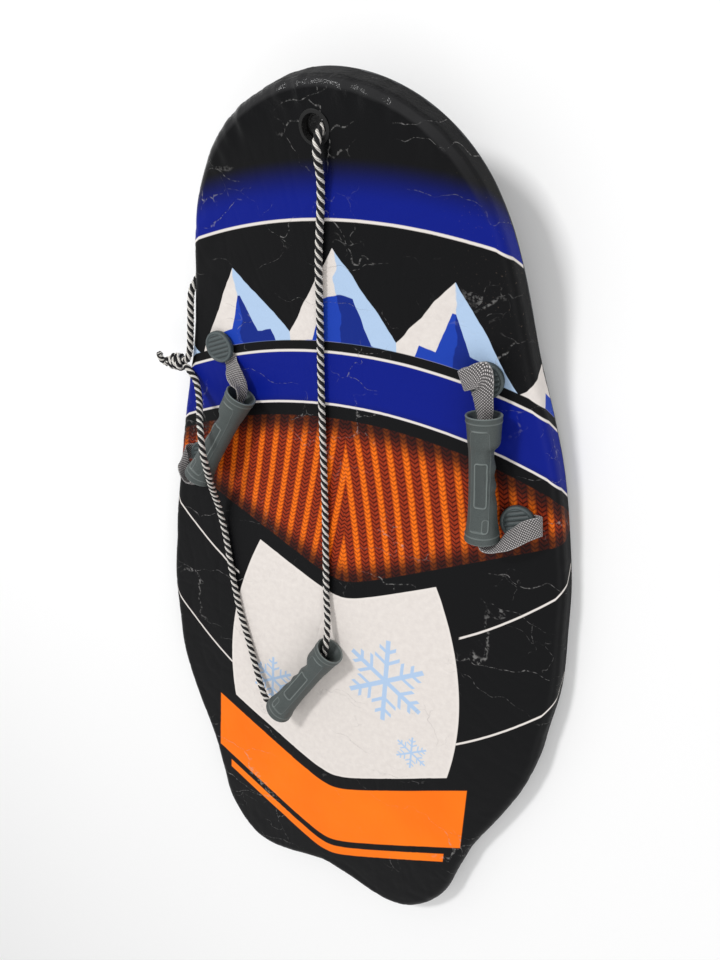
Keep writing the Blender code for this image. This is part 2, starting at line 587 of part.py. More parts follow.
def make_anchor(name, x, s):
    """Ribbed cap with its stem, and the base whose barrel takes the stem."""
    place = board_place(x, s)
    floor = BOARD_BOTTOM + SLICK
    field = CAP_RADIUS - CAP_RIM_WIDTH
    cap_profile = [
        (0.0, CAP_TOP - CAP_RECESS), (field, CAP_TOP - CAP_RECESS), (field, CAP_TOP),
        (CAP_RADIUS - CAP_EDGE, CAP_TOP), (CAP_RADIUS, CAP_TOP - CAP_EDGE), (CAP_RADIUS, CAP_SEAT),
        (STEM_RADIUS, CAP_SEAT), (STEM_RADIUS, floor + STEM_END_GAP), (0.0, floor + STEM_END_GAP),
    ]
    cap = turned(name + "_anchor_cap", cap_profile, 24, False, place)
    for i in range(CAP_RIBS):
        y = (i - (CAP_RIBS - 1) / 2) * CAP_RIB_PITCH
        reach = abs(y) + CAP_RIB_WIDTH / 2
        length = 2 * (sqrt(field * field - reach * reach) + CAP_RIB_ROOT)
        mesh = rib_box(length, 0.0, y, CAP_TOP - CAP_RECESS - CAP_RIB_ROOT, CAP_TOP - CAP_RIB_DROP)
        cap = combine(cap, add_object("rib", mesh, CUTTERS, place), "UNION")
    finish_object(cap, "cap_plastic")
    barrel_top = -CORE_INSET - FIT_GAP
    base_profile = [
        (0.0, floor), (BARREL_BORE, floor), (BARREL_BORE, barrel_top), (BARREL_RADIUS, barrel_top),
        (BARREL_RADIUS, floor), (BASE_RADIUS, floor), (BASE_RADIUS, BOARD_BOTTOM), (0.0, BOARD_BOTTOM),
    ]
    base = turned(name + "_anchor_base", base_profile, 24, False, place)
    finish_object(base, "base_plastic")


def ribbon(name, stations, finish="webbing", parent=None):
    """Webbing along stations of (middle, width direction, lengthwise fold), given in world places."""
    line = walk_line([station[0] for station in stations], WEBBING_STEP, WEBBING_TURN)
    middles = [point for point, _ in line]
    tool = bmesh.new()
    rows = []
    for i, (middle, place) in enumerate(line):
        near = min(int(place), len(stations) - 2)
        share = place - near
        across = stations[near][1].lerp(stations[near + 1][1], share).normalized()
        fold = stations[near][2] * (1 - share) + stations[near + 1][2] * share
        along = (middles[min(i + 1, len(middles) - 1)] - middles[max(i - 1, 0)]).normalized()
        up = across.cross(along).normalized()
        side = WEBBING_WIDTH / 2 * cos(fold)
        rise = WEBBING_WIDTH / 2 * sin(fold)
        offsets = ((-side, rise / 2), (0.0, -rise / 2), (side, rise / 2))
        rows.append([tool.verts.new(middle + a * across + b * up) for a, b in offsets])
    for first, second in zip(rows, rows[1:]):
        for j in range(len(first) - 1):
            tool.faces.new((first[j], first[j + 1], second[j + 1], second[j]))
    mesh = bpy.data.meshes.new(name)
    tool.to_mesh(mesh)
    tool.free()
    made = add_object(name, mesh)
    solidify = made.modifiers.new("thickness", "SOLIDIFY")
    solidify.thickness = WEBBING_THICKNESS
    solidify.offset = 0.0
    solidify.use_even_offset = True
    return finish_object(as_mesh(made), finish, parent)


def side_grip_line(side, outboard, offsets, low_lift):
    """Middle of a side grip, and its axis from the upper to the lower mouth."""
    upper_x, upper_s = anchors()["upper_" + side]
    lower_x, lower_s = anchors()["lower_" + side]
    (upper_out, upper_forward), (lower_out, lower_forward) = offsets
    upper = on_board(upper_x + outboard * upper_out, upper_s + upper_forward, GRIP_AXIS_HEIGHT)
    lower = on_board(lower_x + outboard * lower_out, lower_s + lower_forward, GRIP_AXIS_HEIGHT + low_lift)
    return (upper + lower) / 2, direction(upper, lower)


def tow_grip_line():
    """Middle and axis of the tow grip, on the rope's line."""
    upper = on_board(*FRONT_ROUTE[-3])
    lower = on_board(*FRONT_ROUTE[-1])
    return upper.lerp(lower, TOW_GRIP_ROPE_SHARE), direction(upper, lower)


def grip_matrix(origin, axis, finger_side):
    """Matrix at origin with +Z along the axis and +X towards the finger side."""
    across = (finger_side - finger_side.dot(axis) * axis).normalized()
    upright = axis.cross(across)
    return Matrix.Translation(origin) @ Matrix((across, upright, axis)).transposed().to_4x4()


def grip_ring(tool, along, plain, finger, upright):
    """Ring of the grip: two half ellipses that meet smoothly over and under the axis."""
    ring = []
    for i in range(GRIP_SEGMENTS):
        angle = 2 * pi * i / GRIP_SEGMENTS
        reach = finger if cos(angle) > 0 else plain
        ring.append(tool.verts.new((reach * cos(angle), upright * sin(angle), along)))
    return ring


def make_grip(name, middle, axis, finger_side, parent):
    """Moulded grip with flared mouths and finger hollows. Its origin is the middle of its lower mouth."""
    tool = bmesh.new()
    rings = []
    for share, plain, finger, upright in GRIP_OUTER_SHARES:
        rings.append(grip_ring(tool, (share - 1) * GRIP_LENGTH, plain * GRIP_RADIUS, finger * GRIP_RADIUS,
                               upright * GRIP_RADIUS))
    for share, opening in GRIP_BORE_SHARES:
        radius = GRIP_BORE_RADIUS + opening * (GRIP_RADIUS - GRIP_LIP - GRIP_BORE_RADIUS)
        rings.append(grip_ring(tool, (share - 1) * GRIP_LENGTH, radius, radius, radius))
    for i, first in enumerate(rings):
        second = rings[(i + 1) % len(rings)]
        for j in range(GRIP_SEGMENTS):
            k = (j + 1) % GRIP_SEGMENTS
            tool.faces.new((first[j], first[k], second[k], second[j]))
    bmesh.ops.recalc_face_normals(tool, faces=tool.faces)
    mesh = bpy.data.meshes.new(name)
    tool.to_mesh(mesh)
    tool.free()
    lower_mouth = middle + axis * GRIP_LENGTH / 2
    made = add_object(name, mesh, place=grip_matrix(lower_mouth, axis, finger_side))
    return finish_object(made, "grip_plastic", parent)


def strap_stations(anchor, outboard, table):
    """Stations of a strap end in world places, from its table of shares about an anchor."""
    stations = []
    x, s = anchor
    turned_frame = Matrix.Rotation(turn_at(s), 3, "X")
    for (out, forward, up), width, fold in table:
        place = on_board(x + outboard * out * STRAP_SCALE, s + forward * STRAP_SCALE, up * STRAP_SCALE)
        across = turned_frame @ Vector((outboard * width[0], width[1], width[2]))
        stations.append((place, across.normalized(), radians(fold)))
    return stations


def cut_strap_hole(strap, x, s, finish="webbing"):
    """Round hole in a strap's end for the cap's stem."""
    mesh = bpy.data.meshes.new("stem_hole")
    tool = bmesh.new()
    bmesh.ops.create_cone(tool, cap_ends=True, segments=16, radius1=WEBBING_HOLE_RADIUS,
                          radius2=WEBBING_HOLE_RADIUS, depth=2 * CAP_SEAT)
    tool.to_mesh(mesh)
    tool.free()
    cutter = add_object("stem_hole", mesh, CUTTERS, board_place(x, s))
    finish_object(combine(strap, cutter, "DIFFERENCE"), finish)


def make_handle(side, outboard, offsets, low_lift, upper_table, lower_table, entry_twist):
    """Strap handle: its two strap ends on the board, and the strap's middle and grip that lift."""
    middle, axis = side_grip_line(side, outboard, offsets, low_lift)
    upper_mouth = middle - axis * GRIP_LENGTH / 2
    lower_mouth = middle + axis * GRIP_LENGTH / 2
    outward = Vector((outboard, 0.0, 0.0))
    place = grip_matrix(lower_mouth, axis, outward)
    pivot = bpy.data.objects.new(side + "_handle", None)
    SLED.objects.link(pivot)
    pivot.matrix_world = place
    make_grip(side + "_grip", middle, axis, outward, pivot)

    across = place.to_3x3().col[0].copy()
    upright = place.to_3x3().col[1].copy()
    if upright.z < 0:
        upright.negate()
    inside = []
    for i in range(STRAP_TWIST_STEPS + 1):
        share = i / STRAP_TWIST_STEPS
        twist = entry_twist + share * (pi / 2 - entry_twist)
        width = cos(twist) * across + sin(twist) * upright
        inside.append((upper_mouth + axis * GRIP_LENGTH * share, width, BORE_FOLD))
    ribbon(side + "_strap_middle", inside, parent=pivot)

    upper = strap_stations(anchors()["upper_" + side], outboard, upper_table)
    upper.append((upper_mouth - axis * TOP_STRAP_CLEARANCE, inside[0][1], upper[-1][2] + STRAP_ENTRY_PINCH))
    strap = ribbon(side + "_strap_upper_end", upper)
    cut_strap_hole(strap, *anchors()["upper_" + side])
    lower = strap_stations(anchors()["lower_" + side], outboard, lower_table)
    lower.append((lower_mouth + axis * LOW_STRAP_CLEARANCE, upright, lower[-1][2] + STRAP_ENTRY_PINCH))
    strap = ribbon(side + "_strap_lower_end", lower)
    cut_strap_hole(strap, *anchors()["lower_" + side])


def rope_stretch(name, points, start, end, start_gap, end_gap):
    """Round stretch of the rope, which leaves and arrives straight along two given directions."""
    first = points[0] + start_gap * start
    last = points[-1] - end_gap * end
    inner = [first + ROPE_STUB * start, *points[1:-1], last - ROPE_STUB * end]
    route = [first, *(point for point, _ in walk_line(inner, ROPE_STEP, ROPE_TURN)), last]
    curve = bpy.data.curves.new(name, "CURVE")
    curve.dimensions = "3D"
    curve.bevel_depth = ROPE_DIAMETER / 2
    curve.bevel_resolution = 2
    curve.use_fill_caps = True
    spline = curve.splines.new("POLY")
    spline.points.add(len(route) - 1)
    for target, point in zip(spline.points, route):
        target.co = (*point, 1.0)
    return as_mesh(add_object(name, curve))


def make_rope():
    """Tow rope from the tow hole through its grip, along the left edge to the knot, and back under the nose."""
    half_gap = FIT_GAP / 2
    front = [on_board(*point) for point in FRONT_ROUTE]
    side = [on_board(*point) for point in SIDE_ROUTE]
    back = [on_board(*point) for point in RAIL_ROUTE]
    back += [over_floor(*point) for point in FLOOR_ROUTE]
    back += [on_board(*point) for point in HOLE_ROUTE]
    up_the_hole = direction(back[-2], front[1])
    along_grip = direction(front[-2], side[1])
    knot_face = on_board(*KNOT_FACE)
    into_knot = direction(on_board(*KNOT_BEFORE), knot_face)
    stretches = (
        ("tow_rope_front", front, up_the_hole, along_grip, half_gap, half_gap),
        ("tow_rope_side", side, along_grip, into_knot, half_gap, FIT_GAP),
        ("tow_rope_back", back, -into_knot, up_the_hole, FIT_GAP, half_gap),
    )
    for name, points, start, end, start_gap, end_gap in stretches:
        finish_object(rope_stretch(name, points, start, end, start_gap, end_gap), "rope")

    profile = [(0.0, 0.0)]
    count = KNOT_WRAPS * KNOT_STEPS
    for i in range(count + 1):
        share = i / count
        groove = KNOT_GROOVE * (0.5 + 0.5 * cos(2 * pi * share * KNOT_WRAPS))
        profile.append((KNOT_RADIUS - groove, -share * KNOT_LENGTH))
    profile.append((0.0, -KNOT_LENGTH))
    place = Matrix.Translation(knot_face) @ (-into_knot).to_track_quat("Z", "Y").to_matrix().to_4x4()
    knot = turned("tow_rope_knot", profile, KNOT_SEGMENTS, False, place)
    route = [on_board(*point) for point in TAIL_ROUTE]
    tail = rope_stretch("knot_tail", route, direction(route[0], route[1]), direction(route[-2], route[-1]),
                        0.0, 0.0)
    finish_object(combine(knot, tail, "UNION"), "rope")


def make_tow_grip():
    """Grip on the tow rope."""
    make_grip("tow_grip", *tow_grip_line(), Vector((-1.0, 0.0, 0.0)), None)


make_board()
make_ferrule()
for anchor_name, (anchor_x, anchor_s) in anchors().items():
    make_anchor(anchor_name, anchor_x, anchor_s)
make_handle("left", -1, LEFT_GRIP_OFFSETS, LEFT_GRIP_LOW_LIFT, LEFT_UPPER_STRAP_SHARES,
            LEFT_LOWER_STRAP_SHARES, LEFT_ENTRY_TWIST)
make_handle("right", 1, RIGHT_GRIP_OFFSETS, 0.0, RIGHT_UPPER_STRAP_SHARES, RIGHT_LOWER_STRAP_SHARES,
            RIGHT_ENTRY_TWIST)
make_tow_grip()
make_rope()
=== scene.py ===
"""Looks of the snow sled: printed deck film, straps, grips, anchors and the twisted tow rope."""

from functools import partialmethod
from math import atan2, cos, exp, pi, radians, sin, sqrt

import bmesh
import bpy
from mathutils import Matrix, Vector, noise


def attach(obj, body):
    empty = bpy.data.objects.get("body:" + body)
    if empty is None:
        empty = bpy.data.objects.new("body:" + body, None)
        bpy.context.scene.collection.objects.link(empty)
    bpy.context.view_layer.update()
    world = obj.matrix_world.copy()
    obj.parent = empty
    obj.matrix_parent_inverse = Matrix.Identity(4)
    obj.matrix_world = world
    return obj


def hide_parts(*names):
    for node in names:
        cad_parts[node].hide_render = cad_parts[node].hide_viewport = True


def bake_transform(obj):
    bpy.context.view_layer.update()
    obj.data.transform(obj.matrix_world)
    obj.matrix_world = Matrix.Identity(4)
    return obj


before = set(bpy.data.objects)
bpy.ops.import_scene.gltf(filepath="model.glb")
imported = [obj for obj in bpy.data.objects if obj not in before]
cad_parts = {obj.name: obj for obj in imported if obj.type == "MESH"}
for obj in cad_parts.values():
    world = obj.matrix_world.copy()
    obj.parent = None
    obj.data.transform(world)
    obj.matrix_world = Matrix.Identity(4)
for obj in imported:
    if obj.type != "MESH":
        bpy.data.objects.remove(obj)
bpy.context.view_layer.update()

# Board
BOARD_LENGTH = 0.895
HALF_WIDTH = 0.2448
BOARD_THICKNESS = 0.029
FLAT_LENGTH = 0.44
ROCKER_RADIUS = 0.957
RAIL_RADIUS = 0.009
SLICK = 0.0018
BOARD_BOTTOM = -BOARD_THICKNESS
PLAN_LENGTH = (FLAT_LENGTH
               + (ROCKER_RADIUS + BOARD_THICKNESS) * sin((BOARD_LENGTH - FLAT_LENGTH) / ROCKER_RADIUS))
UV_SHIFT = (0.3, 0.05)

# Half outline as shares of the half width and the length, from the tail
OUTLINE_SHARES = (
    (0, 0.0151), (0.121, 0.0106), (0.254, 0.0028), (0.357, 0.0004), (0.454, 0.0066), (0.561, 0.0287),
    (0.639, 0.0607), (0.683, 0.099), (0.743, 0.1468), (0.835, 0.198), (0.916, 0.2485), (0.957, 0.2884),
    (0.976, 0.3298), (0.997, 0.3731), (1, 0.4031), (0.99, 0.4504), (0.976, 0.5032), (0.941, 0.5617),
    (0.89, 0.6305), (0.836, 0.6818), (0.766, 0.7411), (0.692, 0.8234), (0.64, 0.8687), (0.568, 0.9095),
    (0.476, 0.9422), (0.369, 0.9672), (0.252, 0.9849), (0.127, 0.9959), (0, 1),
)
GRIP_LENGTH = 0.122
TOW_HOLE = (0.0, BOARD_LENGTH - 0.038)
UPPER_ANCHOR = (0.6046 * HALF_WIDTH, 0.7268 * BOARD_LENGTH)
LOWER_ANCHOR = (0.7659 * HALF_WIDTH, UPPER_ANCHOR[1] - GRIP_LENGTH - 0.0105)
ANCHORS = {
    "upper_left": (-UPPER_ANCHOR[0], UPPER_ANCHOR[1]), "upper_right": UPPER_ANCHOR,
    "lower_left": (-LOWER_ANCHOR[0], LOWER_ANCHOR[1]), "lower_right": LOWER_ANCHOR,
}

# Webbing, grips and rope
WEBBING_WIDTH = 0.019
WEBBING_THICKNESS = 0.0014
BACK_FACE_SHIFT = 0.03
STRAP_SCALE = 0.01
GRIP_RADIUS = 0.017
GRIP_AXIS_HEIGHT = GRIP_RADIUS + 0.0006
ROPE_UV_SPAN = 2.0

# Middle of each side grip's upper mouth from the upper anchor, and of its lower mouth from the lower anchor,
# outboard and forward
RIGHT_GRIP_OFFSETS = ((0.0042, -0.028), (-0.0291, -0.0175))
LEFT_GRIP_OFFSETS = ((-0.032, -0.0466), (-0.008, -0.0188))
LEFT_GRIP_LOW_LIFT = 0.0065
TOW_GRIP_ROPE_SHARE = 0.4226


def metres(*rows):
    """Rows of millimetres as metres."""
    return tuple(tuple(part / 1000 for part in row) for row in rows)


# The rope's route: across, along the deck from the tail, and over the deck
FRONT_ROUTE = metres(
    (4.5, 857.8, -14.5), (4.5, 855.5, -6), (4.4, 852.3, 2), (4.3, 846.6, 7.6), (3.8, 837, 9), (2.6, 827, 7),
    (0.4, 814, 4.8), (-3.2, 796, 4.3), (-13.1, 747.7, 4.3), (-19, 690.5, 4.3), (-23.5, 628.9, 4.3),
    (-24.5, 563.8, 4.3), (-22.5, 496, 4.3), (-18.8, 426.3, 4.3), (-15.2, 382, 5.2), (-11.5, 362, 7.6),
    (-8.8, 346.7, 11), (-7.5, 336.7, 14), (-7.1, 328.7, 16), (-7.5, 321.3, 17.2), (-9.3, 315, 17.6),
    (-13, 307.3, 17.6), (-21, 294.8, 17.6), (-39.7, 266, 17.6), (-50.7, 249.1, 17.6),
)
SIDE_ROUTE = metres(
    (-50.7, 249.1, 17.6), (-58.8, 236.6, 17.6), (-66.8, 229.4, 17.4), (-76.9, 227.1, 16.2),
    (-86.8, 230.2, 14.2), (-95.2, 239.2, 11.5), (-103.5, 253, 8.5), (-112, 270, 5.8), (-120.3, 290, 4.5),
    (-129, 312.5, 4.3), (-135.7, 330.9, 4.3), (-148.2, 380.4, 4.3), (-157, 422, 4.5), (-160.5, 440.5, 6.5),
    (-162, 462, 12), (-160, 482, 22.5), (-154.5, 502, 34.8), (-149.7, 521.5, 44.6), (-148.5, 542, 50),
    (-152.5, 561, 46.2), (-162.8, 576, 33.8), (-174.5, 589, 18.5), (-183, 601, 9), (-188.5, 610, 5.4),
    (-194.5, 616.5, 4.8), (-199.7, 620.2, 2.6), (-204.8, 620.3, 0.6),
)
RAIL_ROUTE = metres(
    (-204.8, 629, 0.6), (-199.7, 629.2, 2.6), (-195, 633, 4.4), (-190.8, 644, 3.6), (-188, 661, 2),
    (-184, 680, 1.4), (-181.8, 695, -0.2), (-181.5, 706, -5), (-180, 715, -14), (-178.2, 722.5, -25),
)
HOLE_ROUTE = metres((4.5, 858.5, -28.5), (4.5, 857.8, -14.5))

# Across, along the ground from the tail, and over the ground
FLOOR_ROUTE = metres(
    (-175.5, 730.5, 34.5), (-171, 736, 20.5), (-164, 743, 10.5), (-153, 750.5, 5.5), (-139, 757.5, 4.2),
    (-115, 768, 4.2), (-85, 783, 4.2), (-55, 800, 4.6), (-30, 818, 7.5), (-12, 834, 17), (-2, 846, 33),
    (3, 854.5, 53), (4.4, 858.6, 75),
)


def turn_at(s):
    return max(0.0, s - FLAT_LENGTH) / ROCKER_RADIUS


def on_board(x, s, h):
    """World place of a point (x, s, h): across, along the deck from the tail, and over the deck."""
    turn = turn_at(s)
    y = min(s, FLAT_LENGTH) + (ROCKER_RADIUS - h) * sin(turn)
    z = BOARD_THICKNESS + ROCKER_RADIUS - (ROCKER_RADIUS - h) * cos(turn)
    return Vector((x, y - PLAN_LENGTH / 2, z))


def over_floor(x, y, z):
    return Vector((x, y - PLAN_LENGTH / 2, z))


def add_object(name, data):
    made = bpy.data.objects.new(name, data)
    bpy.context.scene.collection.objects.link(made)
    return made


# Camera at the photograph's viewing angle
camera_data = bpy.data.cameras.new("camera")
camera_data.sensor_width = 36.0
camera_data.lens = 26.43
camera = add_object("camera", camera_data)
camera_right = Vector((0.87896, 0.05733, -0.47344))
camera_up = Vector((-0.18441, 0.95638, -0.22656))
camera_back = Vector((0.4398, 0.28644, 0.85119))
camera_axes = Matrix((camera_right, camera_up, camera_back)).transposed().to_4x4()
camera.matrix_world = Matrix.Translation((0.3398, 0.2898, 0.6569)) @ camera_axes
bpy.context.scene.camera = camera


# Curves and meshes

def clamped(value, low=0.0, high=1.0):
    return max(low, min(high, value))


def bell(distance, width):
    return exp(-(distance / width) ** 2)


def spline_point(before, start, end, after, share):
    """Point between start and end on a smooth curve, paced by the square roots of the distances."""
    pace = [sqrt((second - first).length) for first, second in ((before, start), (start, end), (end, after))]
    first = before.lerp(start, 1 + share * pace[1] / pace[0])
    second = start.lerp(end, share)
    third = end.lerp(after, (share - 1) * pace[1] / pace[2])
    lower = first.lerp(second, (pace[0] + share * pace[1]) / (pace[0] + pace[1]))
    upper = second.lerp(third, share * pace[1] / (pace[1] + pace[2]))
    return lower.lerp(upper, share)


def smooth_line(points, steps=24):
    """Open smooth curve through points, as (point, place among the given points)."""
    padded = [2 * points[0] - points[1], *points, 2 * points[-1] - points[-2]]
    result = []
    for i in range(len(points) - 1):
        for share in (step / steps for step in range(steps)):
            result.append((spline_point(*padded[i:i + 4], share), i + share))
    result.append((points[-1].copy(), len(points) - 1.0))
    return result


def even_walk(points, spacing):
    """Evenly spaced (point, place) along a smooth curve through points."""
    fine = smooth_line(points)
    gone = [0.0]
    for i in range(1, len(fine)):
        gone.append(gone[-1] + (fine[i][0] - fine[i - 1][0]).length)
    count = max(2, round(gone[-1] / spacing))
    result = []
    near = 0
    for k in range(count + 1):
        want = gone[-1] * k / count
        while near < len(fine) - 2 and gone[near + 1] < want:
            near += 1
        share = (want - gone[near]) / max(gone[near + 1] - gone[near], 1e-9)
        place = fine[near][1] + share * (fine[near + 1][1] - fine[near][1])
        result.append((fine[near][0].lerp(fine[near + 1][0], share), place))
    return result


def way_at(line, i):
    """Direction of a line of points at its point i."""
    return (line[min(i + 1, len(line) - 1)] - line[max(i - 1, 0)]).normalized()


def lengths_along(line):
    """How far each point of a line lies along it."""
    gone = [0.0]
    for first, second in zip(line, line[1:]):
        gone.append(gone[-1] + (second - first).length)
    return gone


def link(name, mesh, body, finish, slot, *replaced):
    """Add a piece, ride it on a body, give it its finish and hide the CAD nodes it stands for."""
    made = add_object(name, mesh)
    mesh.materials.append(finish)
    if body is not None:
        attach(made, body)
    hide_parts(*replaced)
    return made


def mesh_from(name, points, faces, corners=(), crests=()):
    """Smooth closed mesh, with UV pairs for the corners of its faces and a relief height for each point."""
    mesh = bpy.data.meshes.new(name)
    mesh.from_pydata([tuple(point) for point in points], [], faces)
    if corners:
        layer = mesh.uv_layers.new(name="place")
        for face, pairs in zip(mesh.polygons, corners):
            for loop, pair in zip(face.loop_indices, pairs):
                layer.data[loop].uv = pair
    if crests:
        mesh.attributes.new("crest", "FLOAT", "POINT").data.foreach_set("value", crests)
    mesh.shade_smooth()
    tool = bmesh.new()
    tool.from_mesh(mesh)
    bmesh.ops.recalc_face_normals(tool, faces=tool.faces)
    tool.to_mesh(mesh)
    tool.free()
    return mesh


def box_corners(left, right, low, high):
    return (left, low), (right, low), (right, high), (left, high)


def ring_points(segments, radius, height):
    return [(radius * cos(2 * pi * k / segments), radius * sin(2 * pi * k / segments), height)
            for k in range(segments)]


def ring_strips(segments, levels, rings, start=0):
    """Quads from ring to ring of points, and their UV corners: share of the way round, and rings' levels.
    With one level more than rings, the last ring joins the first."""
    faces = []
    corners = []
    for ring, (low, high) in enumerate(zip(levels, levels[1:])):
        first, second = (start + at % rings * segments for at in (ring, ring + 1))
        for k in range(segments):
            n = (k + 1) % segments
            faces.append((first + k, first + n, second + n, second + k))
            corners.append(box_corners(k / segments, (k + 1) / segments, low, high))
    return faces, corners


# Materials

PRINT_BLUR = 0.0004


def feed(tree, target, source):
    """Link a value or a socket to an input, or set the input to a number or a colour."""
    if isinstance(source, Value):
        source = source.socket
    if isinstance(source, bpy.types.NodeSocket):
        tree.links.new(source, target)
    elif isinstance(source, tuple):
        target.default_value = (*source, 1.0)
    else:
        target.default_value = source


class Value:
    """A number in a material's nodes, which can be used in arithmetic."""

    def __init__(self, tree, socket):
        self.tree = tree
        self.socket = socket

    def math(self, operation, *others):
        node = self.tree.nodes.new("ShaderNodeMath")
        node.operation = operation
        for target, part in zip(node.inputs, (self, *others)):
            feed(self.tree, target, part)
        return Value(self.tree, node.outputs[0])

    __add__ = partialmethod(math, "ADD")
    __sub__ = partialmethod(math, "SUBTRACT")
    __rsub__ = partialmethod(math, "MULTIPLY_ADD", -1.0)
    __mul__ = partialmethod(math, "MULTIPLY")
    __truediv__ = partialmethod(math, "DIVIDE")
    abs = partialmethod(math, "ABSOLUTE")
    min = partialmethod(math, "MINIMUM")
    max = partialmethod(math, "MAXIMUM")

    def mod(self, other=1.0):
        return self.math("FLOORED_MODULO", other)

    def ramp(self, low, high, kind="LINEAR"):
        """0 at low and 1 at high, straight between them."""
        node = self.tree.nodes.new("ShaderNodeMapRange")
        node.interpolation_type = kind
        for socket, part in (("Value", self), ("From Min", low), ("From Max", high)):
            feed(self.tree, node.inputs[socket], part)
        return Value(self.tree, node.outputs[0])

    def soft(self, low, high):
        """Smooth step from 0 at low to 1 at high."""
        return self.ramp(low, high, "SMOOTHSTEP")

    def inside(self):
        """1 where the value is over 0."""
        return self.ramp(-PRINT_BLUR, PRINT_BLUR)

    def between(self, low, high, blur=PRINT_BLUR):
        """1 where the value lies between two limits."""
        return self.ramp(low - blur, low + blur).min(self.ramp(high + blur, high - blur))


class Finish:
    """A material under construction: its Principled shader, its colour so far and helpers that feed it."""

    def __init__(self, name, ink, **values):
        self.made = bpy.data.materials.new(name)
        self.made.use_nodes = True
        self.tree = self.made.node_tree
        self.shader = self.tree.nodes["Principled BSDF"]
        self.ink = ink
        self.relief = None
        for socket, value in values.items():
            self.shader.inputs[socket.replace("_", " ")].default_value = value

    def new(self, kind, **values):
        node = self.tree.nodes.new(kind)
        for socket, value in values.items():
            feed(self.tree, node.inputs[socket], value)
        return node

    def uv(self):
        node = self.new("ShaderNodeUVMap")
        node.uv_map = "place"
        parts = self.new("ShaderNodeSeparateXYZ", Vector=node.outputs[0])
        return Value(self.tree, parts.outputs[0]), Value(self.tree, parts.outputs[1])

    def sheet_place(self):
        """Place on the board's sheets, across and along, in metres."""
        u, v = self.uv()
        return u - UV_SHIFT[0], v - UV_SHIFT[1]

    def crest(self):
        """Relief height of the mesh."""
        node = self.new("ShaderNodeAttribute")
        node.attribute_name = "crest"
        return Value(self.tree, node.outputs["Fac"])

    def place(self):
        """The surface's own coordinates in metres, as a vector socket."""
        return self.new("ShaderNodeTexCoord").outputs["Object"]

    def vector(self, x, y):
        return self.new("ShaderNodeCombineXYZ", X=x, Y=y).outputs[0]

    def noise(self, where, scale, detail=3.0, rough=0.5):
        node = self.new("ShaderNodeTexNoise", Vector=where, Scale=scale, Detail=detail, Roughness=rough)
        return Value(self.tree, node.outputs["Fac"])

    def edges(self, where, scale):
        """Distance to the edges of random cells, in cell sizes."""
        node = self.new("ShaderNodeTexVoronoi", Vector=where, Scale=scale)
        node.feature = "DISTANCE_TO_EDGE"
        return Value(self.tree, node.outputs["Distance"])

    def mix(self, share, low, high):
        """Colour between two colours, each a tuple or a socket."""
        node = self.new("ShaderNodeMix")
        node.data_type = "RGBA"
        for i, source in ((0, share), (6, low), (7, high)):
            feed(self.tree, node.inputs[i], source)
        return node.outputs[2]

    def paint(self, share, colour):
        """Lay a colour over the colour so far."""
        self.ink = self.mix(share, self.ink, colour)
        feed(self.tree, self.shader.inputs["Base Color"], self.ink)

    def roughness(self, value):
        feed(self.tree, self.shader.inputs["Roughness"], value)

    def bump(self, height, distance, strength):
        """Bump from a height between 0 and 1, over the bumps so far."""
        node = self.new("ShaderNodeBump", Height=height, Distance=distance, Strength=strength)
        if self.relief is not None:
            feed(self.tree, node.inputs["Normal"], self.relief)
        self.relief = node.outputs[0]
        feed(self.tree, self.shader.inputs["Normal"], self.relief)


BLACK_INK = (0.0022, 0.0023, 0.0028)
BLUE_INK = (0.002, 0.01, 0.215)
ICE_INK = (0.42, 0.56, 0.76)
SNOW_INK = (0.76, 0.71, 0.67)
GREY_SNOW = (0.7, 0.65, 0.615)
LIT_FOOT = (0.012, 0.05, 0.4)
SHADED_FOOT = (0.006, 0.022, 0.215)
ORANGE_INK = (0.93, 0.165, 0.006)
PALER_ORANGE = (0.93, 0.205, 0.008)
BRIGHT_YARN = (0.95, 0.175, 0.007)
SHADED_YARN = (0.42, 0.048, 0.004)
RUST_YARN = (0.33, 0.034, 0.008)
DEEP_YARN = (0.04, 0.003, 0.001)
CREASE_WHITE = (0.42, 0.41, 0.4)
RUBBED = (0.16, 0.12, 0.095)
# Painted sheen: pale grey for the nose's rounded edge, in place of its reflection
RIM_SHEEN_PAINT = (0.026, 0.026, 0.027)

# Widths and places of the print, in metres
LINE_WIDTH = 0.0026
STRIPE_PITCH = 0.0176
STITCH_PITCH = 0.0047
PEAK_PITCH = 0.118
PEAK_BAND = (0.6565, 0.783)
BAND_LINES = (0.7815, 0.6565, 0.6015)
KNIT_EDGE = (0.588, 0.6015)
FLAKES = ((0.062, 0.3, 0.05), (-0.088, 0.25, 0.03), (0.1, 0.222, 0.02))
FLAKE_BRANCHES = ((0.42, 0.3), (0.7, 0.2))
RAIL_LINES = (0.335, 0.205)
TAIL_BARS = ((0.056, 0.133, 0.168), (0.036, 0.047, 0.15))


def distance(x, y):
    return (x * x + y * y).math("SQRT")


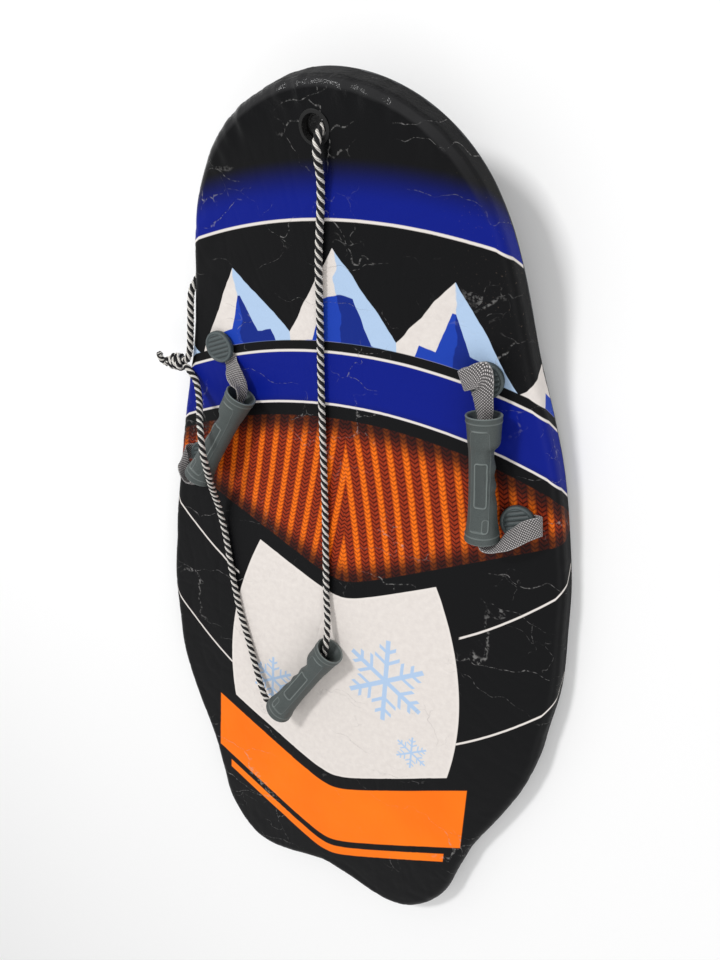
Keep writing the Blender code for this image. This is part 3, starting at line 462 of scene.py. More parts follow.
def print_peaks(film, x, arch, wobble, snow):
    """Blue band with peaks between pinstripes."""
    film.paint(arch.soft(0.835, 0.798).min(arch.soft(0.588, 0.612)), BLUE_INK)
    film.paint(arch.between(*PEAK_BAND), BLACK_INK)
    fold = (x / PEAK_PITCH + 0.5).mod() - 0.5
    ridge = fold.abs() * -0.15 + 0.758 - x.abs() * 0.1 + (wobble - 0.5) * 0.01
    peaks = (ridge - arch).between(0.0, 1.0).min(arch.ramp(0.668, 0.6688)).min(arch.ramp(0.777, 0.7762))
    shaded = (fold + (wobble - 0.5) * 0.16).ramp(-0.004, 0.004)
    film.paint(peaks, film.mix(shaded, snow, ICE_INK))
    snow_line = ridge - arch - 0.034 + ((x * 61.0).math("PINGPONG", 1.0) - 0.5) * 0.02
    film.paint(peaks * snow_line.inside(), film.mix(shaded, LIT_FOOT, SHADED_FOOT))
    for low in BAND_LINES:
        film.paint(arch.between(low, low + LINE_WIDTH), SNOW_INK)
    film.paint(arch.between(*KNIT_EDGE), BLACK_INK)


def print_knit(film, x, s, into_knit):
    """Knitted yoke. Returns how much each place lies on a stitch."""
    column = ((x.abs() * 0.985 + s * 0.17) / STRIPE_PITCH).mod()
    off = ((column * 2.0).mod() - 0.5).abs() * 2.0
    stitch = ((s / STITCH_PITCH - off * 0.78).mod() - 0.5).abs()
    groove = stitch.ramp(0.44, 0.2).min(off.ramp(1.0, 0.88)).min(off.ramp(0.0, 0.1) * 0.7 + 0.3)
    lit_yarn = film.mix(off.soft(1.0, 0.35), SHADED_YARN, BRIGHT_YARN)
    yarn = film.mix(column.between(0.0, 0.5, 0.012), film.mix(groove, DEEP_YARN, RUST_YARN),
                    film.mix(groove * 0.62 + 0.38, DEEP_YARN, lit_yarn))
    yarn = film.mix(into_knit.soft(0.03, 0.004) * 0.88, yarn, BLACK_INK)
    film.paint(into_knit.inside(), yarn)
    return groove


def print_flake(film, x, s, reach):
    """Flake of six arms with branches, round the place where x and s are 0."""
    far = distance(x, s)
    turned = (s.math("ARCTAN2", x) / (pi / 3)).mod() * (pi / 3) - pi / 6
    along = far * turned.math("COSINE")
    across = (far * turned.math("SINE")).abs()
    arm = (reach * 0.055 - across).min(reach - along)
    for at, long in FLAKE_BRANCHES:
        branch = along - across * 0.62 - at * reach
        arm = arm.max((reach * 0.045 - branch.abs()).min(long * reach - across))
    film.paint(arm.ramp(-0.0003, 0.0003), ICE_INK)


def print_tail(film, x, s, vee, snow):
    """Pale field with flakes, pinstripes from it out over the rails, and orange chevrons."""
    side = x.abs()
    field = (vee - 0.15).min(0.385 - vee).min(0.15 - side + (s - 0.27).math("POWER", 2.0) * -1.6)
    film.paint(field.inside(), snow)
    for at_x, at_s, reach in FLAKES:
        print_flake(film, x - at_x, s - at_s, reach)
    film.paint(field.between(0.0, LINE_WIDTH), SNOW_INK)
    for low in RAIL_LINES:
        line = (s - side * side * 2.1 - low).between(0.0, LINE_WIDTH)
        film.paint(line.min(field.ramp(0.0, -0.0004)).min(side.ramp(0.14, 0.142)), SNOW_INK)
    orange = film.mix(film.noise(film.vector(x, s), 9.0, 2.0).ramp(0.3, 0.7), ORANGE_INK, PALER_ORANGE)
    for low, high, reach in TAIL_BARS:
        film.paint((vee - low).min(high - vee).min(reach - side).inside(), orange)


def wear_and_sheen_film(film, x, s, arch, wobble, rounded_edge):
    """Creases, film rubbed pale along the rails, and painted sheen along the nose's rounded edge. Returns the
    creases.
    """
    flat = film.vector(x, s)
    bent_x = x + (wobble - 0.5) * 0.05
    bent_s = s + (film.noise(flat, 21.0, 2.0) - 0.5) * 0.05
    long_cracks = film.edges(film.vector(bent_x * 0.55, bent_s * 1.9), 10.0)
    fine_cracks = film.edges(film.vector(bent_x, bent_s), 30.0)
    long_lines = long_cracks.ramp(0.01, 0.003) * film.noise(flat, 6.5, 2.0).ramp(0.5, 0.58)
    fine_lines = fine_cracks.ramp(0.016, 0.005) * film.noise(flat, 12.0, 1.0).ramp(0.58, 0.68)
    pulled = fine_cracks.ramp(0.02, 0.006) * distance(x, s - TOW_HOLE[1]).ramp(0.04, 0.024)
    cracks = long_lines.max(fine_lines).max(pulled)
    film.paint(cracks * film.noise(flat, 260.0, 2.0).ramp(0.46, 0.6) * 0.38, CREASE_WHITE)
    rub = s.ramp(0.62, 0.72) * film.noise(flat, 420.0).ramp(0.66, 0.71) * x.ramp(0.1, 0.19)
    film.paint(rub * 0.45, RUBBED)
    # Painted sheen: the rounded edge at the nose is painted paler grey in place of its reflection
    film.paint(rounded_edge * arch.ramp(0.8, 0.87) * 0.8, RIM_SHEEN_PAINT)
    return cracks


def deck_print():
    """Printed deck film: bands, peaks, a knitted stripe and chevrons, with creases, rubbed film and painted
    sheen on the nose's rounded edge.
    """
    film = Finish("deck_film_print", BLACK_INK, Roughness=0.36, Specular_IOR_Level=0.11)
    x, s = film.sheet_place()
    flat = film.vector(x, s)
    wobble = film.noise(flat, 34.0, 2.0)
    arch = x * x * 0.9 + s
    vee = s - ((x * x + 0.0004).math("SQRT") - 0.02) * 0.46
    snow = film.mix(film.noise(flat, 150.0, 4.0, 0.6).ramp(0.35, 0.7), GREY_SNOW, SNOW_INK)
    into_knit = (vee - 0.405).min(KNIT_EDGE[0] - arch)
    turned_out = film.crest()
    rounded_edge = turned_out.ramp(0.02, 0.3).min(turned_out.ramp(0.97, 0.75))

    print_peaks(film, x, arch, wobble, snow)
    groove = print_knit(film, x, s, into_knit)
    print_tail(film, x, s, vee, snow)
    cracks = wear_and_sheen_film(film, x, s, arch, wobble, rounded_edge)

    film.bump(film.noise(flat, 85.0, 3.0, 0.55), 0.001, 0.35)
    film.bump(film.noise(flat, 900.0, 2.0), 0.00012, 0.3)
    film.bump(film.noise(flat, 260.0, 3.0, 0.6) * arch.ramp(0.86, 0.875), 0.0012, 0.5)
    film.bump(groove * into_knit.ramp(0.0, 0.006), 0.0002, 0.25)
    film.bump(1.0 - cracks, 0.0007, 0.55)
    gloss = arch.ramp(0.815, 0.85)
    rough = film.noise(flat, 48.0).ramp(0.2, 0.8) * 0.1 + 0.42 - gloss * 0.14
    film.roughness((rough - rounded_edge * gloss * 0.2).max(turned_out.ramp(0.8, 0.98) * 0.62))
    return film.made


def plain_finish(name, dark, light, rough, grain_scale, bump, **values):
    """Moulded plastic or foam: two close colours, fine grain, and a painted highlight that makes convex edges
    paler.
    """
    made = Finish(name, dark, Roughness=rough, **values)
    where = made.place()
    grain = made.noise(where, grain_scale, 3.0, 0.6)
    cloud = made.noise(where, 40.0, 2.0)
    made.paint((grain * 0.55 + cloud * 0.45).ramp(0.3, 0.7), light)
    # Painted highlight: convex edges are painted paler
    edge_highlight = Value(made.tree, made.new("ShaderNodeNewGeometry").outputs["Pointiness"]).ramp(0.505, 0.6)
    made.paint(edge_highlight * 0.55, tuple(min(1.0, 1.9 * channel + 0.01) for channel in light))
    made.bump(grain, bump, 0.5)
    made.roughness(cloud.ramp(0.2, 0.8) * 0.16 + (rough - 0.08))
    return made.made


def grip_finish():
    """Speckled moulding, with painted highlights round its mouths and on its raised beads, and painted shade
    in its sunk panels. UV runs along the outside, round a lip and back through the bore.
    """
    made = Finish("grip_moulding", (0.026, 0.035, 0.034), Roughness=0.58)
    v = made.uv()[1]
    where = made.place()
    speckle = made.noise(where, 1500.0, 2.0, 0.7)
    cloud = made.noise(where, 45.0, 2.0)
    relief = made.crest()
    made.paint(speckle.ramp(0.35, 0.68), (0.058, 0.071, 0.068))
    made.paint(cloud.ramp(0.3, 0.7) * 0.3, (0.066, 0.08, 0.077))
    # Painted highlight: a pale line round each mouth
    lip_highlight = v.between(0.487, 0.513, 0.002).max((v - 0.5).abs().ramp(0.476, 0.479))
    made.paint(lip_highlight * 0.7, (0.2, 0.232, 0.224))
    # Painted highlight on the raised beads and badge outlines
    made.paint(relief.ramp(0.25, 0.95) * 0.75, (0.185, 0.214, 0.205))
    # Painted shade in the sunk panels
    made.paint(relief.ramp(-0.1, -0.4) * 0.4, (0.02, 0.027, 0.026))
    made.bump(speckle, 0.0003, 0.6)
    made.roughness(cloud.ramp(0.2, 0.8) * 0.14 + 0.5)
    return made.made


def webbing_finish(pitch=0.00135):
    """Plain-weave webbing, from UV in metres across and along the strap."""
    made = Finish("webbing_weave", None, Roughness=0.82, Sheen_Weight=0.1)
    both_faces, v = made.uv()
    u = both_faces.mod(BACK_FACE_SHIFT)
    across, along = u / pitch, v / pitch
    cell = ((across.math("FLOOR") + along.math("FLOOR")) / 2.0).mod().ramp(0.2, 0.3)
    bulge, rise = across.mod(), along.mod()
    dome = (bulge * (1.0 - bulge) * 4.0) * (rise * (1.0 - rise) * 4.0)
    fibre = made.noise(made.vector(u, v * 0.35), 2600.0, 2.0)
    # Painted shade between the yarns: each weave bump is darker towards its sides and paler on its crown
    made.ink = made.mix(dome.ramp(0.15, 0.85), (0.008, 0.008, 0.008), (0.075, 0.069, 0.07))
    made.paint(cell, made.mix(dome.ramp(0.12, 0.75), (0.045, 0.042, 0.043), (0.64, 0.605, 0.6)))
    made.paint(fibre.ramp(0.45, 0.75) * 0.14, (0.5, 0.47, 0.46))
    half = WEBBING_WIDTH / 2
    made.paint((u - half).abs().ramp(half - 0.0011, half - 0.0004) * 0.5, (0.46, 0.44, 0.43))
    made.bump(dome, 0.00045, 0.9)
    made.bump(fibre, 0.0001, 0.4)
    return made.made


def rope_finish():
    """Four twisted strands, black and white by turns, from UV: share round and along ROPE_UV_SPAN."""
    made = Finish("rope_strands", None, Roughness=0.85, Sheen_Weight=0.08, Specular_IOR_Level=0.2)
    u, share = made.uv()
    strand = ((u * 2.0).mod() - 0.25).abs().ramp(0.195, 0.225)
    inside = (u * 4.0).mod() - 0.5
    yarns = ((inside * 1.6 + share * ROPE_UV_SPAN / 0.0052).mod() - 0.5).abs()
    fuzz = made.noise(made.place(), 2400.0, 3.0, 0.7)
    # Painted shade in the grooves between the yarns: each yarn is darker towards its edges
    made.ink = made.mix(yarns.ramp(0.5, 0.34), (0.16, 0.14, 0.12), (0.82, 0.79, 0.74))
    made.paint(strand, made.mix(yarns.ramp(0.5, 0.25), (0.002, 0.002, 0.002), (0.01, 0.01, 0.011)))
    made.paint(fuzz.ramp(0.55, 0.85) * 0.12, (0.18, 0.17, 0.16))
    made.bump(yarns.ramp(0.5, 0.2), 0.0006, 0.8)
    made.bump(fuzz, 0.00015, 0.5)
    return made.made


def slick_finish():
    """Smooth plastic sheet, scratched along its length by sliding."""
    made = Finish("slick_sheet_scratched", (0.016, 0.018, 0.022), Roughness=0.3, Coat_Weight=0.1)
    x, s = made.sheet_place()
    flat = made.vector(x, s)
    scratches = made.noise(made.vector(x * 46.0, s * 1.1), 22.0, 4.0, 0.65).ramp(0.6, 0.7)
    cloud = made.noise(flat, 14.0)
    made.paint(cloud.ramp(0.35, 0.65), (0.024, 0.026, 0.031))
    made.paint(scratches * 0.5, (0.085, 0.088, 0.095))
    made.bump(made.noise(flat, 60.0, 2.0), 0.0006, 0.3)
    made.bump(1.0 - scratches, 0.00015, 0.5)
    made.roughness(cloud.ramp(0.2, 0.8) * 0.15 + 0.26)
    return made.made


def cap_finish():
    """Moulded cap, with painted shade in its grooves and a painted highlight on its rim."""
    made = Finish("cap_moulding", (0.04, 0.054, 0.056), Roughness=0.55)
    grain = made.noise(made.place(), 1100.0, 3.0, 0.6)
    relief = made.crest()
    made.paint(grain.ramp(0.3, 0.7), (0.06, 0.078, 0.08))
    # Painted shade in the grooves between the ribs
    made.paint(relief.ramp(-0.2, -0.9) * 0.75, (0.01, 0.014, 0.015))
    # Painted highlight on the raised rim
    made.paint(relief.ramp(0.6, 1.0) * 0.7, (0.17, 0.195, 0.195))
    made.bump(grain, 0.0002, 0.5)
    return made.made


DECK = deck_print()
GRIP = grip_finish()
CAP = cap_finish()
BASE = plain_finish("base_moulding", (0.028, 0.029, 0.031), (0.042, 0.043, 0.045), 0.5, 700.0, 0.0002)
FERRULE = plain_finish("ferrule_moulding", (0.003, 0.003, 0.003), (0.006, 0.006, 0.006), 0.42, 700.0, 0.0001,
                       Specular_IOR_Level=0.2)
FOAM = plain_finish("core_beads", (0.7, 0.7, 0.68), (0.82, 0.82, 0.8), 0.9, 300.0, 0.001)
WEBBING = webbing_finish()
ROPE = rope_finish()
SLICK_SHEET = slick_finish()

KEPT = {"tow_hole_ferrule": FERRULE, "tow_hole_ferrule_base": FERRULE, "tow_hole_block": FOAM}
KEPT.update((name, FOAM) for name in ("foam_core", "foam_nose_left", "foam_nose_right", "foam_nose_tip"))
KEPT.update((name + "_anchor_base", BASE) for name in ANCHORS)
for name, finish in KEPT.items():
    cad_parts[name].data.materials.clear()
    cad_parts[name].data.materials.append(finish)


# Board sheets

DECK_HOLE = 0.0122
SLICK_TOW_HOLE = 0.0148
SLICK_ANCHOR_HOLE = 0.0173
RING_MIDDLE = Vector((0.0, 0.45))

# Place across at the rail, width, depth and slant of each pucker round the nose
PUCKERS = (
    (-0.083, 0.005, 0.0017, -0.35), (-0.052, 0.004, 0.0008, 0.2), (-0.02, 0.0055, 0.0019, 0.1),
    (-0.002, 0.0035, 0.0009, -0.2), (0.04, 0.006, 0.0021, 0.25), (0.066, 0.004, 0.0013, 0.35),
    (0.094, 0.0042, 0.001, 0.3), (0.118, 0.0045, 0.0014, 0.4), (-0.112, 0.0045, 0.0009, -0.3),
)


def outline(steps):
    """Closed outline of the board with its inward normals, as flat points."""
    half = [Vector((across * HALF_WIDTH, along * BOARD_LENGTH)) for across, along in OUTLINE_SHARES]
    points = half + [Vector((-point.x, point.y)) for point in reversed(half[1:-1])]
    count = len(points)
    loop = []
    for i in range(count):
        around = [points[(i + shift) % count] for shift in (-1, 0, 1, 2)]
        loop.extend(spline_point(*around, step / steps) for step in range(steps))
    normals = []
    for i in range(len(loop)):
        along = (loop[(i + 1) % len(loop)] - loop[i - 1]).normalized()
        normals.append(Vector((-along.y, along.x)))
    return loop, normals


def wave(x, y, z):
    return noise.noise(Vector((x, y, z)))


def nose_puckers(inset, outer_x):
    """Folds and ripples of the film where it is drawn round the nose."""
    rise = 0.0
    near = bell(inset - 0.0105, 0.0085)
    for at, width, depth, slant in PUCKERS:
        off = outer_x - at - slant * inset
        rise -= depth * near * bell(off, width)
        rise += 0.8 * depth * near * bell(abs(off) - 1.9 * width, width)
    return rise + 0.0011 * bell(inset - 0.0085, 0.004) * wave(outer_x * 90.0, inset * 60.0, 5.0)


def film_rise(x, s, inset, outer_x, outer_s):
    """How far the film stands off its plain shape along its normal, in metres."""
    rise = 0.00028 * wave(x * 31.0, s * 31.0, 0.3) + 0.00045 * wave(x * 11.0, s * 11.0, 4.7)
    rise -= 0.00034 * bell(wave(x * 17.0 + 9.0, s * 44.0, 2.1), 0.055)
    rise -= 0.00026 * bell(wave(x * 38.0 - 3.0, s * 13.0, 7.7), 0.05)
    nose = clamped((s - 0.66) / 0.12)
    rail_wave = wave(outer_x * 26.0, outer_s * 26.0, inset * 30.0)
    rise += bell(inset - 0.01, 0.016) * rail_wave * (0.0004 + 0.001 * nose)
    if outer_s > 0.78:
        rise += nose_puckers(inset, outer_x)
    return max(rise, -0.0008)


def punch(tool, uv_layer, holes):
    """Cut round holes (x, s, radius) in a flat sheet whose points still hold (x, s, h)."""
    for at_x, at_s, radius in holes:
        centre = Vector((at_x, at_s))
        gone = [vertex for vertex in tool.verts if (vertex.co.xy - centre).length < radius]
        bmesh.ops.delete(tool, geom=gone, context="VERTS")
        rim = [vertex for vertex in tool.verts if vertex.is_boundary
               and (vertex.co.xy - centre).length < radius + 0.009]
        for vertex in rim:
            vertex.co.xy = centre + (vertex.co.xy - centre).normalized() * radius
    bmesh.ops.remove_doubles(tool, verts=tool.verts, dist=0.0002)
    for face in tool.faces:
        for corner in face.loops:
            corner[uv_layer].uv = (corner.vert.co.x + UV_SHIFT[0], corner.vert.co.y + UV_SHIFT[1])


def sheet_rows(tool, profile, rises, rings):
    """Rows of points, each with the shift that rolls it back: the profile, then rings round the middle."""
    turned_out = tool.verts.layers.float.new("crest")
    inset, height, _, up, _ = profile[-1]
    places = [(*place, 1.0) for place in profile]
    places += [(inset, height, 0.0, up, 0.0, 1 - ring / rings) for ring in range(1, rings)]
    loop, normals = outline(12)
    rows = []
    for inset, height, out, up, unrolled, share in places:
        row = []
        for point, inward in zip(loop, normals):
            flat = RING_MIDDLE + (point + inset * inward - RING_MIDDLE) * share
            away = inset + (1 - share) * (point - RING_MIDDLE).length
            rise = film_rise(flat.x, flat.y, away, point.x, point.y) if rises else 0.0
            flat = flat - inward * out * rise - inward * unrolled
            vertex = tool.verts.new((flat.x, flat.y, height + up * rise))
            vertex[turned_out] = out
            row.append((vertex, inward * unrolled))
        rows.append(row)
    return rows


def board_sheet(name, profile, rises, holes, rings):
    """Sheet over the board: a profile of (inset, height, outward, up, unrolled) inwards from the edge,
    then rings that close in on the middle."""
    tool = bmesh.new()
    uv_layer = tool.loops.layers.uv.new("place")
    rows = sheet_rows(tool, profile, rises, rings)
    centre = tool.verts.new((*RING_MIDDLE, profile[-1][1]))
    count = len(rows[0])
    for first, second in zip(rows, rows[1:]):
        for i in range(count):
            k = (i + 1) % count
            tool.faces.new((first[i][0], first[k][0], second[k][0], second[i][0]))
    for i in range(count):
        tool.faces.new((rows[-1][i][0], rows[-1][(i + 1) % count][0], centre))
    tool.verts.index_update()
    back = {vertex: shift for row in rows for vertex, shift in row}
    punch(tool, uv_layer, holes)
    for vertex in tool.verts:
        vertex.co.xy += back.get(vertex, Vector((0.0, 0.0)))
        vertex.co = on_board(*vertex.co)
    bmesh.ops.recalc_face_normals(tool, faces=tool.faces)
    mesh = bpy.data.meshes.new(name)
    tool.to_mesh(mesh)
    tool.free()
    mesh.shade_smooth()
    return mesh


def deck_profile():
    """Film from the bottom of the rail, up the side and over the rounded edge."""
    low = BOARD_BOTTOM + SLICK + 0.0003
    profile = []
    for i in range(7):
        height = low + (-RAIL_RADIUS - low) * i / 6
        profile.append((0.0, height, 1.0, 0.0, -height))
    for i in range(1, 9):
        angle = pi / 2 * i / 8
        inset, height = RAIL_RADIUS * (1 - cos(angle)), RAIL_RADIUS * (sin(angle) - 1)
        profile.append((inset, height, cos(angle), sin(angle), RAIL_RADIUS * (1 - angle * 2 / pi)))
    profile += [(RAIL_RADIUS + i * 0.0026, 0.0, 0.0, 1.0, 0.0) for i in range(1, 6)]
    return profile


def slick_profile():
    """Bottom sheet from under the foam, round its edge and under the board."""
    top = BOARD_BOTTOM + SLICK
    places = ((0.012, top), (0.0004, top), (0.0, top - 0.0004), (0.0, BOARD_BOTTOM + 0.0006),
              (0.0002, BOARD_BOTTOM + 0.0002), (0.0006, BOARD_BOTTOM), (0.006, BOARD_BOTTOM))
    return [(inset, height, 0.0, 0.0, 0.0) for inset, height in places]


def make_board():
    mesh = board_sheet("deck_film", deck_profile(), True, [(*TOW_HOLE, DECK_HOLE)], 92)
    link("deck_film", mesh, "board", DECK, "deck_film", "deck_skin")
    holes = [(*place, SLICK_ANCHOR_HOLE) for place in ANCHORS.values()] + [(*TOW_HOLE, SLICK_TOW_HOLE)]
    mesh = board_sheet("slick", slick_profile(), False, holes, 90)
    link("slick", mesh, "board", SLICK_SHEET, "slick_sheet", "bottom_sheet")


# Anchor caps

CAP_SEGMENTS = 96
CAP_TURN = radians(18)
CAP_SEAT = WEBBING_THICKNESS + 0.0006
CAP_FIELD = 0.0136
RIB_PITCH = 0.0046
STEM_FOOT = BOARD_BOTTOM + SLICK + 0.0008
CAP_SIDE = ((0.017, CAP_SEAT + 0.0022), (0.0168, CAP_SEAT + 0.0004), (0.0164, CAP_SEAT), (0.004, CAP_SEAT),
            (0.004, STEM_FOOT))


def cap_height(x, y):
    """Height of the cap's top over its seat, and its relief."""
    far = sqrt(x * x + y * y)
    rim = clamped((far - CAP_FIELD) / 0.001)
    height = 0.0046 + 0.0006 * (1 - (far / 0.017) ** 2) + 0.001 * rim * rim * (3 - 2 * rim)
    if far < CAP_FIELD:
        ridge = 0.5 + 0.5 * cos(2 * pi * (y / RIB_PITCH))
        fade = clamped((CAP_FIELD - far) / 0.0008)
        height += fade * (0.0011 * ridge ** 0.6 - 0.0003)
        relief = fade * (min(0.4, 1.6 * ridge) - 1.0 + 0.6 * ridge)
    else:
        relief = rim * max(0.0, 1.0 - abs(far - 0.0152) / 0.0008)
    edge = max(0.0, far - 0.0154) / 0.0016
    return height - 0.0013 * (1 - sqrt(max(0.0, 1 - edge * edge))), relief


def cap_shape():
    """Points, faces and relief of a ribbed round cap with a raised rim, a skirt and a stem."""
    height, relief = cap_height(0.0, 0.0)
    points = [(0.0, 0.0, CAP_SEAT + height)]
    crests = [relief]
    radii = [0.0004 + 0.0166 * i / 40 for i in range(41)]
    for radius in radii:
        for x, y, _ in ring_points(CAP_SEGMENTS, radius, 0.0):
            height, relief = cap_height(x, y)
            points.append((x * cos(CAP_TURN) - y * sin(CAP_TURN), x * sin(CAP_TURN) + y * cos(CAP_TURN),
                           CAP_SEAT + height))
            crests.append(relief)
    for radius, height in CAP_SIDE:
        points += ring_points(CAP_SEGMENTS, radius, height)
    points.append((0.0, 0.0, STEM_FOOT))
    crests += [0.0] * (len(points) - len(crests))
    rings = len(radii) + len(CAP_SIDE)
    last = 1 + (rings - 1) * CAP_SEGMENTS
    steps = [(k, (k + 1) % CAP_SEGMENTS) for k in range(CAP_SEGMENTS)]
    faces = [(0, 1 + k, 1 + n) for k, n in steps]
    faces += ring_strips(CAP_SEGMENTS, range(rings), rings, 1)[0]
    faces += [(last + k, len(points) - 1, last + n) for k, n in steps]
    return points, faces, crests


def make_caps():
    points, faces, crests = cap_shape()
    for name, (x, s) in ANCHORS.items():
        place = Matrix.Translation(on_board(x, s, 0.0)) @ Matrix.Rotation(turn_at(s), 4, "X")
        placed = [place @ Vector(point) for point in points]
        mesh = mesh_from(name + "_cap", placed, faces, crests=crests)
        link(name + "_cap", mesh, "board", CAP, "cap_plastic", name + "_anchor_cap")


# Grips

# Share of the length from the upper mouth, then the plain side's, the finger side's and the upright half size
# as shares of GRIP_RADIUS
GRIP_OUTER = (
    (0, 1, 1, 1), (0.04, 0.95, 0.96, 0.95), (0.14, 0.88, 0.92, 0.88), (0.205, 0.85, 0.9, 0.85),
    (0.235, 0.83, 0.8, 0.8), (0.262, 0.8, 0.62, 0.76), (0.3, 0.79, 0.545, 0.73), (0.34, 0.78, 0.555, 0.72),
    (0.38, 0.775, 0.63, 0.72), (0.41, 0.77, 0.67, 0.72), (0.44, 0.77, 0.63, 0.72), (0.475, 0.77, 0.59, 0.72),
    (0.515, 0.77, 0.65, 0.72), (0.55, 0.77, 0.72, 0.72), (0.58, 0.77, 0.69, 0.725), (0.61, 0.77, 0.65, 0.73),
    (0.65, 0.775, 0.71, 0.74), (0.7, 0.78, 0.78, 0.75), (0.82, 0.82, 0.82, 0.81), (0.92, 0.91, 0.92, 0.9),
    (1, 1, 1, 1),
)
# Share of the length, and of the way from the bore's radius to the lip's
GRIP_BORE = ((0, 1), (0.03, 0.66), (0.07, 0.28), (0.12, 0), (0.88, 0), (0.93, 0.28), (0.97, 0.66), (1, 1))

# The panel, the badge and the frame round them: place across, share of the length, half width, half length,
# corner, then the width and height of the bead and how far the inside is sunk
GRIP_OUTLINES = (
    (0.0018, 0.525, 0.0056, 0.0212, 0.0022, 0.00065, 0.0008, 0.0003),
    (0.0072, 0.845, 0.0028, 0.0066, 0.0027, 0.00055, 0.0006, 0.0),
    (0.0012, 0.5, 0.0092, 0.049, 0.004, 0.0005, 0.00042, 0.0),
)
GRIP_SEGMENTS = 160
GRIP_RINGS = 190
BORE_RINGS = 60
BORE_RADIUS = 0.0068
LIP = 0.002
LIP_ROUNDING = 0.0009


def from_table(table, share):
    """Smoothly interpolated row of a table whose first column rises."""
    for i in range(len(table) - 1):
        if share <= table[i + 1][0]:
            break
    low, high = table[i], table[i + 1]
    t = clamped((share - low[0]) / (high[0] - low[0]))
    before = table[max(i - 1, 0)]
    after = table[min(i + 2, len(table) - 1)]
    result = []
    for k in range(1, len(low)):
        rise_low = (high[k] - before[k]) / max(high[0] - before[0], 1e-6) * (high[0] - low[0])
        rise_high = (after[k] - low[k]) / max(after[0] - low[0], 1e-6) * (high[0] - low[0])
        from_ends = (2 * t ** 3 - 3 * t ** 2 + 1) * low[k] + (t ** 3 - 2 * t ** 2 + t) * rise_low
        result.append(from_ends + (-2 * t ** 3 + 3 * t ** 2) * high[k] + (t ** 3 - t ** 2) * rise_high)
    return result


def side_grip_line(side, outboard, offsets, low_lift):
    """Middle of a side grip's lower mouth, and its axis from the upper to the lower mouth."""
    upper_x, upper_s = ANCHORS["upper_" + side]
    lower_x, lower_s = ANCHORS["lower_" + side]
    (upper_out, upper_forward), (lower_out, lower_forward) = offsets
    upper = on_board(upper_x + outboard * upper_out, upper_s + upper_forward, GRIP_AXIS_HEIGHT)
    lower = on_board(lower_x + outboard * lower_out, lower_s + lower_forward, GRIP_AXIS_HEIGHT + low_lift)
    axis = (lower - upper).normalized()
    return (upper + lower) / 2 + axis * GRIP_LENGTH / 2, axis


def tow_grip_line():
    """Middle of the tow grip's lower mouth, and its axis, on the rope's line."""
    upper = on_board(*FRONT_ROUTE[-3])
    lower = on_board(*FRONT_ROUTE[-1])
    axis = (lower - upper).normalized()
    return upper.lerp(lower, TOW_GRIP_ROPE_SHARE) + axis * GRIP_LENGTH / 2, axis


def grip_matrix(line, finger_side):
    origin, axis = line
    across = (finger_side - finger_side.dot(axis) * axis).normalized()
    upright = axis.cross(across)
    return Matrix.Translation(origin) @ Matrix((across, upright, axis)).transposed().to_4x4()


def rounded_box(a, b, half_a, half_b, corner):
    """Distance from the edge of a rounded rectangle, negative inside."""
    qa = abs(a) - half_a + corner
    qb = abs(b) - half_b + corner
    return sqrt(max(qa, 0.0) ** 2 + max(qb, 0.0) ** 2) + min(max(qa, qb), 0.0) - corner


def within_half_turn(angle):
    return (angle + pi) % (2 * pi) - pi


def grip_relief(share, facing, radius, top_sign):
    """Rise of the panel, the badge, the beads and the seam over a grip's plain shape, in metres."""
    rise = 0.0
    for turned in (0.0, pi):
        off = -within_half_turn(facing + turned) * radius * top_sign
        for across, middle, half_a, half_b, corner, width, height, sunk in GRIP_OUTLINES:
            away = rounded_box(off + across, (share - middle) * GRIP_LENGTH, half_a, half_b, corner)
            rise += height * bell(away, width) - (sunk if away < -0.0009 else 0.0)
    for at in (0.045, 0.945):
        rise += 0.00055 * bell((share - at) * GRIP_LENGTH, 0.0008)
    for arc in (0.085 + 0.014 * cos(2 * facing), 0.905 - 0.014 * cos(2 * facing)):
        rise += 0.0005 * bell((share - arc) * GRIP_LENGTH, 0.0008) * max(0.0, cos(2 * facing))
    return rise + 0.00022 * bell((abs(facing) - pi / 2) * radius, 0.0005)


def lip_fall(share):
    """1 at either mouth, falling to 0 where the lip's rounding ends."""
    return max(0.0, 1 - min(share, 1 - share) * GRIP_LENGTH / LIP_ROUNDING) ** 2


def grip_outside(top_sign):
    """Points and relief of a grip's outside: flared mouths, finger hollows, panels and bead lines."""
    points = []
    crests = []
    for ring in range(GRIP_RINGS + 1):
        share = ring / GRIP_RINGS
        plain, finger, upright = from_table(GRIP_OUTER, share)
        for k in range(GRIP_SEGMENTS):
            angle = 2 * pi * k / GRIP_SEGMENTS
            reach = (finger if cos(angle) > 0 else plain) * GRIP_RADIUS
            radius = 1 / sqrt((cos(angle) / reach) ** 2 + (sin(angle) / (upright * GRIP_RADIUS)) ** 2)
            rise = grip_relief(share, within_half_turn(angle - top_sign * pi / 2), radius, top_sign)
            crests.append(clamped(rise / 0.0007, -1.0))
            radius += rise - 0.0006 * lip_fall(share)
            points.append((radius * cos(angle), radius * sin(angle), (share - 1) * GRIP_LENGTH))
    return points, crests


def grip_bore():
    """Points of a grip's bore, from the lower mouth back to the upper one."""
    points = []
    for ring in range(BORE_RINGS + 1):
        share = 1 - ring / BORE_RINGS
        opening = max(0.0, from_table(GRIP_BORE, share)[0])
        radius = BORE_RADIUS + opening * (GRIP_RADIUS - LIP - BORE_RADIUS) + 0.0005 * lip_fall(share)
        points += ring_points(GRIP_SEGMENTS, radius, (share - 1) * GRIP_LENGTH)
    return points


